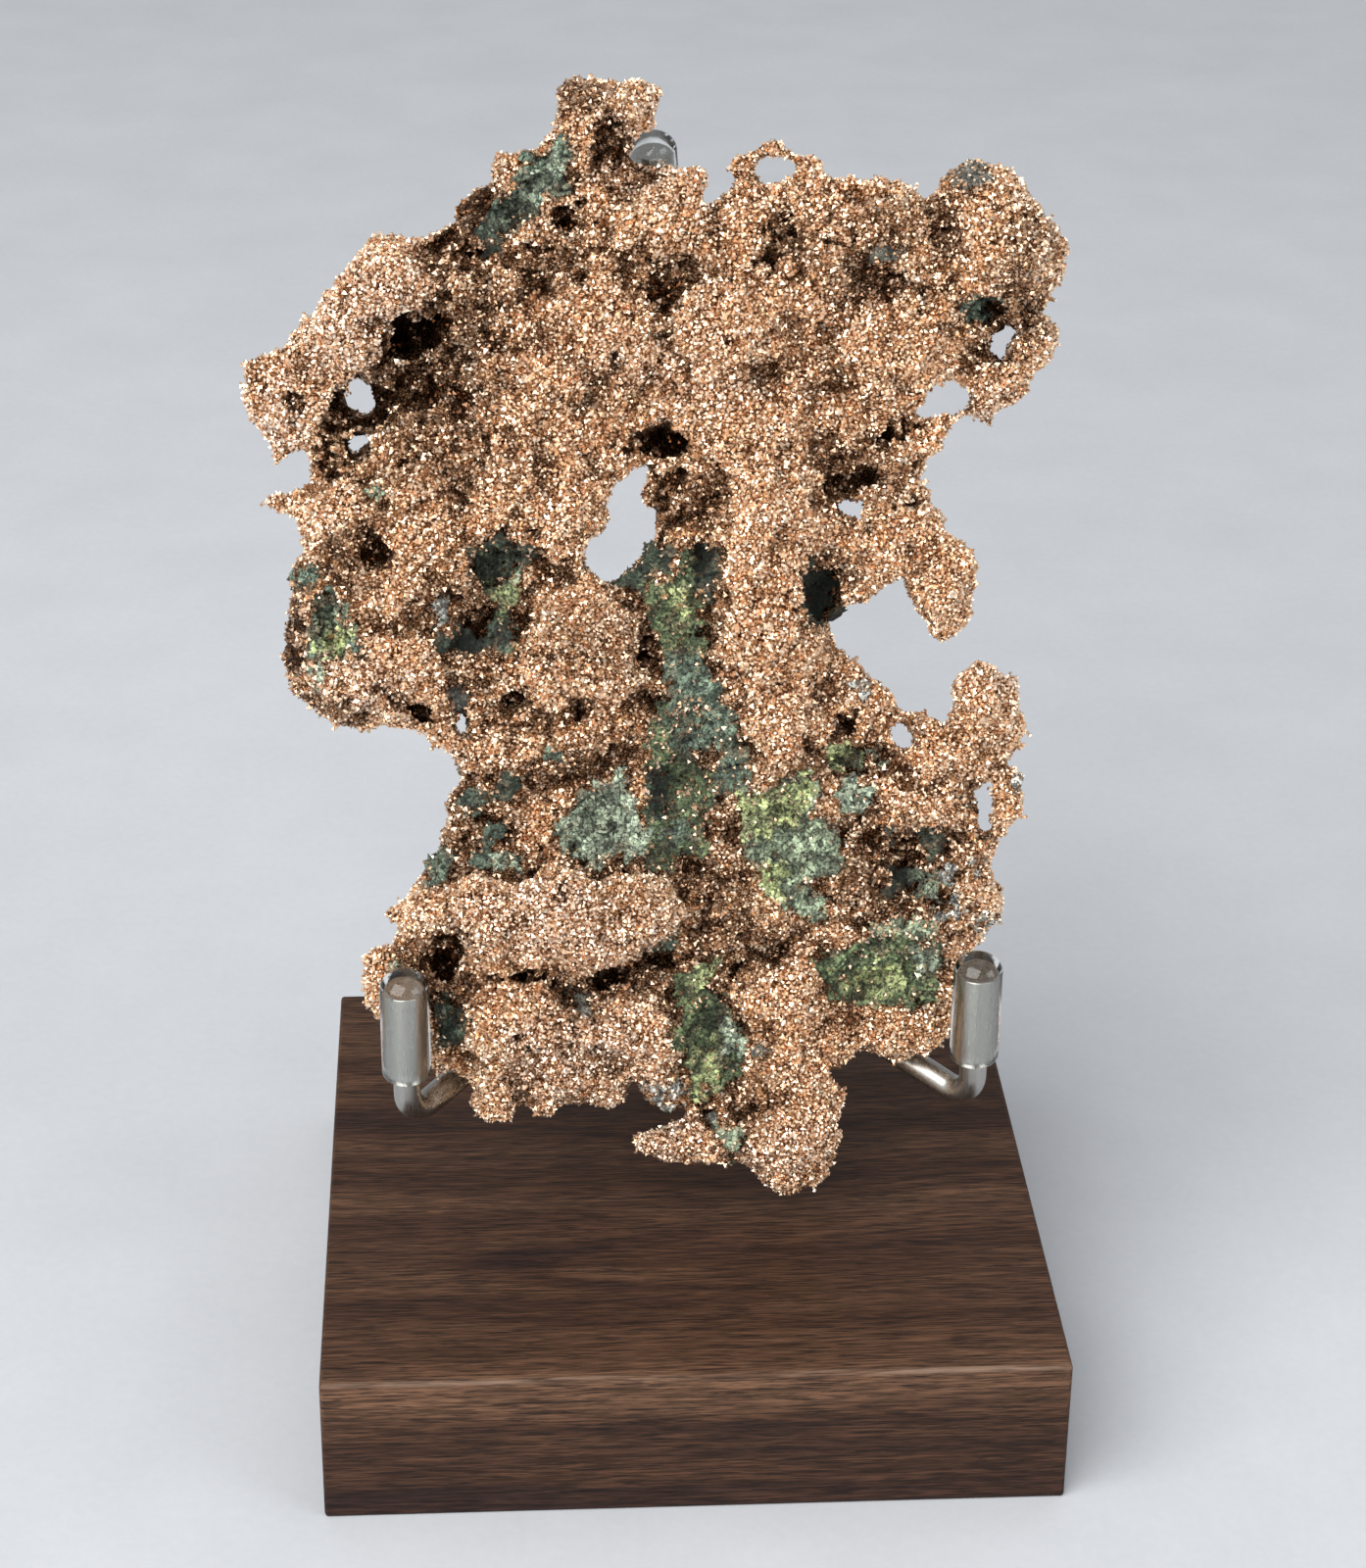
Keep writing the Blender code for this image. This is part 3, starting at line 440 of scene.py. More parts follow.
@dataclass(frozen=True)
class SkinFinish:
    """The nugget's skin under its crystals: deep brown copper and patches of rock."""

    # Dark brown of the low spots and of the painted shade between the grains.
    gap: Colour = (0.10, 0.033, 0.011)
    metal: Colour = (0.74, 0.42, 0.22)
    bright: Colour = (0.94, 0.68, 0.46)
    # Near black of the painted shade and tarnish in hollows.
    tarnish_and_shade_dark: Colour = (0.022, 0.009, 0.004)
    crack: Colour = (0.010, 0.013, 0.010)

    def material(self) -> bpy.types.Material:
        """Builds the skin, from the stone, stone_colour and tarnish attributes.

        Returns:
            The material.
        """
        material, wiring, shader = new_material("copper skin with rock")
        place = wiring.add("ShaderNodeTexCoord").outputs["Object"]
        stone = wiring.attribute("stone").outputs["Fac"]
        stone_colour = wiring.attribute("stone_colour").outputs["Color"]
        tarnish = wiring.attribute("tarnish").outputs["Fac"]
        tone = add_mottle(wiring, place, 420.0, 2300.0)
        edge_noise = wiring.between(tone.outputs["Specks"], 0.3, 0.7, -0.3, 0.3)
        mask = wiring.between(wiring.math("ADD", stone, edge_noise), 0.42, 0.58)

        grain = wiring.add("ShaderNodeTexVoronoi", None, Vector=place, Scale=2900.0)
        kind = wiring.add("ShaderNodeSeparateColor", None, i0=grain.outputs["Color"])
        copper = wiring.mix(wiring.between(tone.outputs["Height"], 0.6, 0.95), self.gap, self.metal)
        copper = wiring.mix(wiring.between(kind.outputs["Green"], 0.55, 0.80), copper, self.bright)
        # Painted shade in the seams between the grains, in the gap colour.
        painted_seam_shade = wiring.between(grain.outputs["Distance"], 0.42, 0.68, 0.0, 0.75)
        copper = wiring.mix(painted_seam_shade, copper, self.gap)
        # Painted shade and tarnish darken the copper in hollows and dark ovals.
        copper = wiring.mix(wiring.math("MULTIPLY", tarnish, 0.95), copper, self.tarnish_and_shade_dark)
        shade = wiring.between(tone.outputs["Specks"], 0.37, 0.63, 0.15, 2.1)
        folds = wiring.between(tone.outputs["Clouds"], 0.36, 0.64, 0.46, 1.48)
        rock = wiring.mix(1.0, stone_colour, wiring.math("MULTIPLY", shade, folds), "MULTIPLY")
        cracks = wiring.add(
            "ShaderNodeTexNoise", None, Vector=place, Scale=520.0, Detail=3.0, Roughness=0.65
        )
        ridge = wiring.math("ABSOLUTE", wiring.math("SUBTRACT", cracks.outputs[0], 0.5))
        rock = wiring.mix(wiring.between(ridge, 0.0, 0.045, 0.95, 0.0), rock, self.crack)
        wiring.feed(shader.inputs["Base Color"], wiring.mix(mask, copper, rock))
        wiring.feed(shader.inputs["Metallic"], wiring.math("SUBTRACT", 1.0, mask))
        wiring.feed(shader.inputs["Roughness"], wiring.between(mask, 0.0, 1.0, 0.34, 0.85))
        domes = wiring.between(mask, 0.0, 1.0, -1.3, -0.2)
        beads = wiring.math("MULTIPLY", grain.outputs["Distance"], domes)
        beads = wiring.math("ADD", beads, wiring.math("MULTIPLY", kind.outputs["Red"], 0.4))
        relief = wiring.math("ADD", tone.outputs["Height"], beads)
        bump = wiring.add("ShaderNodeBump", None, Height=relief, Strength=1.0, Distance=0.35 * MM)
        wiring.feed(shader.inputs["Normal"], bump.outputs[0])
        return material


@dataclass(frozen=True)
class CrystalFinish:
    """Bright native copper, each crystal of its own tint."""

    name: str
    roughness: float
    tints: tuple[tuple[float, Colour], ...] = (
        (0.00, (0.88, 0.55, 0.35)),
        (0.25, (0.95, 0.67, 0.45)),
        (0.60, (0.98, 0.74, 0.53)),
        (1.00, (1.00, 0.83, 0.65)),
    )
    pale: Colour = (0.97, 0.80, 0.67)
    # Dark tint of the painted shade and tarnish on crystals in hollows.
    tarnish_and_shade_tint: Colour = (0.11, 0.042, 0.017)

    def material(self) -> bpy.types.Material:
        """Builds the copper, from the chance, pale and tarnish attributes.

        Returns:
            The material.
        """
        material, wiring, shader = new_material(self.name)
        chance = wiring.attribute("chance").outputs["Fac"]
        tarnish = wiring.attribute("tarnish").outputs["Fac"]
        pale = wiring.attribute("pale").outputs["Fac"]
        bright = wiring.mix(wiring.math("MULTIPLY", pale, 0.6), wiring.ramp(chance, self.tints), self.pale)
        # Crystals in hollows and dark ovals darken towards painted shade and tarnish.
        wiring.feed(shader.inputs["Base Color"], wiring.mix(tarnish, bright, self.tarnish_and_shade_tint))
        shader.inputs["Metallic"].default_value = 1.0
        shader.inputs["Roughness"].default_value = self.roughness
        return material


@dataclass(frozen=True)
class CrumbFinish:
    """Crumbly green rock, each crumb a little lighter or darker."""

    roughness: float = 0.8

    def material(self) -> bpy.types.Material:
        """Builds the rock, from the stone_colour and chance attributes.

        Returns:
            The material.
        """
        material, wiring, shader = new_material("green rock")
        chance = wiring.attribute("chance").outputs["Fac"]
        stone_colour = wiring.attribute("stone_colour").outputs["Color"]
        shade = wiring.between(chance, 0.0, 1.0, 0.12, 2.0)
        wiring.feed(shader.inputs["Base Color"], wiring.mix(1.0, stone_colour, shade, "MULTIPLY"))
        shader.inputs["Roughness"].default_value = self.roughness
        return material


class Stone(Enum):
    """Kinds of rock and mineral that show between the copper."""

    TEAL = (0.130, 0.176, 0.126)
    PALE_TEAL = (0.345, 0.410, 0.300)
    MOSS = (0.125, 0.165, 0.078)
    YELLOW_GREEN = (0.440, 0.500, 0.230)
    DARK_GREEN = (0.037, 0.052, 0.033)
    GREY_GREEN = (0.285, 0.345, 0.232)
    SLATE = (0.125, 0.122, 0.102)
    PALE_GREY = (0.480, 0.480, 0.440)


# --------------------------------------------------------------------------
# Mesh helpers
# --------------------------------------------------------------------------


def object_from(bm: bmesh.types.BMesh, name: str) -> bpy.types.Object:
    """Makes a scene object of a bmesh, and frees the bmesh.

    Args:
        bm: The shape, in metres and in place.
        name: The object's name.

    Returns:
        The object, at the origin.
    """
    mesh = bpy.data.meshes.new(name)
    bm.to_mesh(mesh)
    bm.free()
    made = bpy.data.objects.new(name, mesh)
    bpy.context.scene.collection.objects.link(made)
    return made


def apply_modifiers(piece: bpy.types.Object) -> None:
    """Turns a piece's modifiers into plain mesh.

    Args:
        piece: The object whose modifiers are applied.
    """
    graph = bpy.context.evaluated_depsgraph_get()
    mesh = bpy.data.meshes.new_from_object(piece.evaluated_get(graph), depsgraph=graph)
    mesh.name = piece.name
    piece.modifiers.clear()
    piece.data = mesh


def keep_in_box(piece: bpy.types.Object) -> None:
    """Holds a piece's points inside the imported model's box.

    Args:
        piece: The piece, whose points are in metres and in place.
    """
    low, high = (np.array(corner) for corner in CAD_BOUNDS)
    points = np.empty(len(piece.data.vertices) * 3)
    piece.data.vertices.foreach_get("co", points)
    held = np.clip(points.reshape(-1, 3), low + BOX_MARGIN, high - BOX_MARGIN)
    piece.data.vertices.foreach_set("co", held.ravel())
    piece.data.update()


def dress(piece: bpy.types.Object, material: bpy.types.Material) -> None:
    """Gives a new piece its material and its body.

    Args:
        piece: The finished object.
        material: What it is made of.
    """
    piece.data.materials.clear()
    piece.data.materials.append(material)
    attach(piece, "root")
    LOG.info("%s: %d faces", piece.name, len(piece.data.polygons))


# --------------------------------------------------------------------------
# Stand
# --------------------------------------------------------------------------


@dataclass
class WalnutBase:
    """Square walnut block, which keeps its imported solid."""

    finish: WalnutFinish = field(default_factory=WalnutFinish)

    def build(self) -> None:
        """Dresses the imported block."""
        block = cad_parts["walnut_base"]
        for slot in block.material_slots:
            slot.material = self.finish.material()
        LOG.info("walnut_base dressed")


@dataclass
class RodPath:
    """A round rod's middle line: corner points, bent round at a radius. Lengths in millimetres."""

    points: tuple[Vector, ...]
    bend: float
    radius: float
    segments: int = 40
    rounding: float = 0.25
    step: float = 6.0

    def build(self, bm: bmesh.types.BMesh) -> None:
        """Draws the rod out along its line.

        Args:
            bm: The bmesh that the rod is added to, in millimetres.
        """
        first = (self.points[1] - self.points[0]).normalized()
        turn = Vector((0, 0, 1)).rotation_difference(first).to_matrix().to_4x4()
        made = bmesh.ops.create_circle(
            bm, segments=self.segments, radius=self.radius, matrix=Matrix.Translation(self.points[0]) @ turn
        )
        ring = list(dict.fromkeys(edge for vert in made["verts"] for edge in vert.link_edges))
        start = list(ring)
        place = self.points[0]
        for index in range(1, len(self.points)):
            corner = self.points[index]
            run = (corner - self.points[index - 1]).normalized()
            if index == len(self.points) - 1:
                ring = self._straight(bm, ring, corner - place)
                break
            following = (self.points[index + 1] - corner).normalized()
            angle = run.angle(following)
            back = self.bend * math.tan(angle / 2)
            ring = self._straight(bm, ring, corner - run * back - place)
            axis = run.cross(following).normalized()
            centre = corner - run * back + axis.cross(run).normalized() * self.bend
            steps = max(2, round(math.degrees(angle) / self.step))
            spun = bmesh.ops.spin(
                bm, geom=[*ring, *dict.fromkeys(vert for edge in ring for vert in edge.verts)],
                cent=centre, axis=axis, angle=angle, steps=steps,
            )
            ring = [item for item in spun["geom_last"] if isinstance(item, bmesh.types.BMEdge)]
            place = corner + following * back
        caps = bmesh.ops.holes_fill(bm, edges=[*start, *ring], sides=self.segments)["faces"]
        rim = [edge for face in caps for edge in face.edges]
        bmesh.ops.bevel(
            bm, geom=rim, offset=self.rounding, offset_type="OFFSET", segments=3, profile=0.5,
            affect="EDGES", material=-1,
        )

    @staticmethod
    def _straight(bm: bmesh.types.BMesh, ring: list, step: Vector) -> list:
        """Draws a ring of edges straight on.

        Args:
            bm: The bmesh.
            ring: The rod's open end.
            step: How far it goes, and which way.

        Returns:
            The new open end.
        """
        drawn = bmesh.ops.extrude_edge_only(bm, edges=ring)["geom"]
        verts = [item for item in drawn if isinstance(item, bmesh.types.BMVert)]
        bmesh.ops.translate(bm, vec=step, verts=verts)
        moved = set(verts)
        return [
            item for item in drawn
            if isinstance(item, bmesh.types.BMEdge) and set(item.verts) <= moved
        ]


@dataclass
class SteelFrame:
    """Post and two arms, brazed together behind the nugget. Lengths in millimetres."""

    rod: float = 3.8
    post: tuple[Vector, ...] = (
        Vector((-0.7, 25.2, 10.5)), Vector((-0.7, 25.2, 132.0)), Vector((-3.4, 25.2, 167.8)),
    )
    post_bend: float = 30.0
    root: Vector = field(default_factory=lambda: Vector((-0.7, 25.2, 52.5)))
    corners: tuple[Vector, Vector] = (Vector((-38.8, -15.8, 41.6)), Vector((40.4, -15.8, 42.6)))
    bend: float = 3.6
    upright: float = 16.3
    knot: float = 3.1
    start: float = 2.1
    crease: float = math.radians(35)
    finish: SteelFinish = field(default_factory=SteelFinish)

    def arm(self, corner: Vector) -> tuple[Vector, ...]:
        """Gives an arm's corner points.

        Args:
            corner: Where the arm turns up.

        Returns:
            Its root, its corner and its free end.
        """
        run = (corner - self.root).normalized()
        back = self.bend * math.tan(run.angle(Vector((0, 0, 1))) / 2)
        return self.root + run * self.start, corner, corner + Vector((0, 0, back + self.upright))

    def ends(self) -> tuple[tuple[Vector, Vector], ...]:
        """Gives the three free ends, each with the way that its rod points."""
        arms = [self.arm(corner) for corner in self.corners]
        paths = [*arms, self.post]
        return tuple((path[-1], (path[-1] - path[-2]).normalized()) for path in paths)

    def build(self) -> None:
        """Bends the rods and joins them round the brazed knot."""
        bm = bmesh.new()
        RodPath(self.post, self.post_bend, self.rod / 2).build(bm)
        frame_piece = object_from(self._in_metres(bm), "steel_rods")
        helpers = []
        for index, corner in enumerate(self.corners):
            bm = bmesh.new()
            RodPath(self.arm(corner), self.bend, self.rod / 2).build(bm)
            helpers.append(object_from(self._in_metres(bm), f"arm_{index}"))
        bm = bmesh.new()
        bmesh.ops.create_uvsphere(bm, u_segments=32, v_segments=16, radius=self.knot)
        bmesh.ops.translate(bm, vec=self.root, verts=bm.verts)
        helpers.append(object_from(self._in_metres(bm), "knot"))
        for helper in helpers:
            union = frame_piece.modifiers.new(helper.name, "BOOLEAN")
            union.operation = "UNION"
            union.solver = "EXACT"
            union.object = helper
        apply_modifiers(frame_piece)
        for helper in helpers:
            bpy.data.objects.remove(helper, do_unlink=True)
        frame_piece.data.shade_smooth()
        bm = bmesh.new()
        bm.from_mesh(frame_piece.data)
        # The union's points come in no fixed order, so they are put in one along a slanting line.
        slant = Vector((1.0, 1.618, 2.414))
        bm.verts.sort(key=lambda vert: vert.co.dot(slant))
        bm.faces.sort(key=lambda face: face.calc_center_median().dot(slant))
        for edge in bm.edges:
            edge.smooth = edge.calc_face_angle(0.0) < self.crease
        bm.to_mesh(frame_piece.data)
        bm.free()
        dress(frame_piece, self.finish.material())
        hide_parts("steel_frame")

    @staticmethod
    def _in_metres(bm: bmesh.types.BMesh) -> bmesh.types.BMesh:
        """Turns a bmesh's millimetres into metres and its faces outwards."""
        bmesh.ops.remove_doubles(bm, verts=bm.verts, dist=0.001)
        bmesh.ops.scale(bm, vec=(MM, MM, MM), verts=bm.verts)
        bmesh.ops.recalc_face_normals(bm, faces=bm.faces)
        return bm


@dataclass
class ClearCap:
    """Dip-moulded clear cap, which grips one rod end with no air between. Lengths in millimetres."""

    name: str
    node: str
    end: Vector
    way: Vector
    outer: float = 3.44
    bore: float = 1.86
    dome: float = 2.8
    length: float = 17.0
    crown: float = 3.2
    overlap: float = 0.03
    lip: float = 1.3
    chamfer: float = 0.2
    mouth: tuple[float, float] = (0.10, 0.12)
    lip_steps: int = 6
    dome_steps: int = 14
    steps: int = 56

    def build(self, material: bpy.types.Material) -> None:
        """Spins the cap's section round the rod.

        Args:
            material: The clear vinyl.
        """
        shoulder = self.length - self.dome
        bore_top = self.length - self.crown - self.overlap
        lip = [
            (self.outer - self.lip + self.lip * math.cos(a), self.lip - self.lip * math.sin(a))
            for a in (math.pi / 2 * step / self.lip_steps for step in range(self.lip_steps, -1, -1))
        ]
        dome = [
            (self.outer * math.cos(a), shoulder + self.dome * math.sin(a))
            for a in (math.pi / 2 * step / self.dome_steps for step in range(1, self.dome_steps + 1))
        ]
        inside = [
            (0.0, bore_top), (self.bore - self.chamfer, bore_top), (self.bore, bore_top - self.chamfer),
            (self.bore, self.mouth[1]), (self.bore + self.mouth[0], 0.0),
        ]
        section = [*inside, *lip, *dome]
        bm = bmesh.new()
        verts = [bm.verts.new((radius, 0.0, height)) for radius, height in section]
        verts[-1].co.x = 0.0
        edges = [bm.edges.new(pair) for pair in zip(verts, verts[1:])]
        bmesh.ops.spin(
            bm, geom=[*verts, *edges], cent=(0, 0, 0), axis=(0, 0, 1), angle=math.tau,
            steps=self.steps, use_merge=True,
        )
        bmesh.ops.remove_doubles(bm, verts=bm.verts, dist=0.002)
        bmesh.ops.recalc_face_normals(bm, faces=bm.faces)
        turn = Vector((0, 0, 1)).rotation_difference(self.way).to_matrix().to_4x4()
        base = self.end + self.way * (self.crown - self.length)
        placed = Matrix.Scale(MM, 4) @ Matrix.Translation(base) @ turn
        bmesh.ops.transform(bm, matrix=placed, verts=bm.verts)
        cap = object_from(bm, self.name)
        cap.data.shade_smooth()
        dress(cap, material)
        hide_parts(self.node)


# --------------------------------------------------------------------------
# Nugget
# --------------------------------------------------------------------------


@dataclass(frozen=True)
class Patch:
    """A patch of rock on the nugget's front: its kind and its outline, as the viewer sees it.

    The outline's points are (u, v) in millimetres, and copper is the share of the
    patch that is still covered with copper grains.
    """

    stone: Stone
    outline: tuple[tuple[float, float], ...]
    copper: float = 0.10
    reach: float = field(default=3.0, init=False)

    def depth(self, u: np.ndarray, v: np.ndarray) -> np.ndarray:
        """Says how far inside the patch each point is.

        Args:
            u: Places across, in millimetres.
            v: Places up, in millimetres.

        Returns:
            Millimetres to the outline, negative outside it, down to -reach far away.
        """
        corners = np.array(self.outline)
        low, high = corners.min(axis=0) - self.reach, corners.max(axis=0) + self.reach
        near = np.flatnonzero((u > low[0]) & (u < high[0]) & (v > low[1]) & (v < high[1]))
        result = np.full(len(u), -self.reach)
        if not len(near):
            return result
        spots = np.column_stack((u[near], v[near]))
        distance = np.full(len(near), 1e9)
        inside = np.zeros(len(near), dtype=bool)
        for start, end in zip(corners, np.roll(corners, -1, axis=0)):
            run = end - start
            offset = spots - start
            along = np.clip(offset @ run / (run @ run), 0.0, 1.0)
            distance = np.minimum(distance, np.hypot(*(offset - along[:, None] * run).T))
            if start[1] != end[1]:
                spans = (start[1] > spots[:, 1]) != (end[1] > spots[:, 1])
                inside ^= spans & (start[0] + (spots[:, 1] - start[1]) * run[0] / run[1] > spots[:, 0])
        result[near] = np.where(inside, distance, -distance)
        return result


@dataclass(frozen=True)
class Hollow:
    """An oval on the nugget's front: middle, half sizes, turn in degrees, strength and depth.

    Strength says how dark a hollow is painted, standing for the shade in it and partly for stains in broad
    ones, or how pale the copper is in a pale place.
    Lengths are in millimetres.
    """

    u: float
    v: float
    wide: float
    high: float
    turn: float = 0.0
    strength: float = 1.0
    deep: float = 1.5

    def share(self, u: np.ndarray, v: np.ndarray) -> np.ndarray:
        """Says how far inside the oval each point is.

        Args:
            u: Places across, in millimetres.
            v: Places up, in millimetres.

        Returns:
            1 well inside, 0 on the edge and less outside.
        """
        angle = math.radians(self.turn)
        du, dv = u - self.u, v - self.v
        along = (du * math.cos(angle) + dv * math.sin(angle)) / self.wide
        across = (dv * math.cos(angle) - du * math.sin(angle)) / self.high
        return np.clip(1.6 * (1.05 - np.hypot(along, across)), -1.5, 1.0)


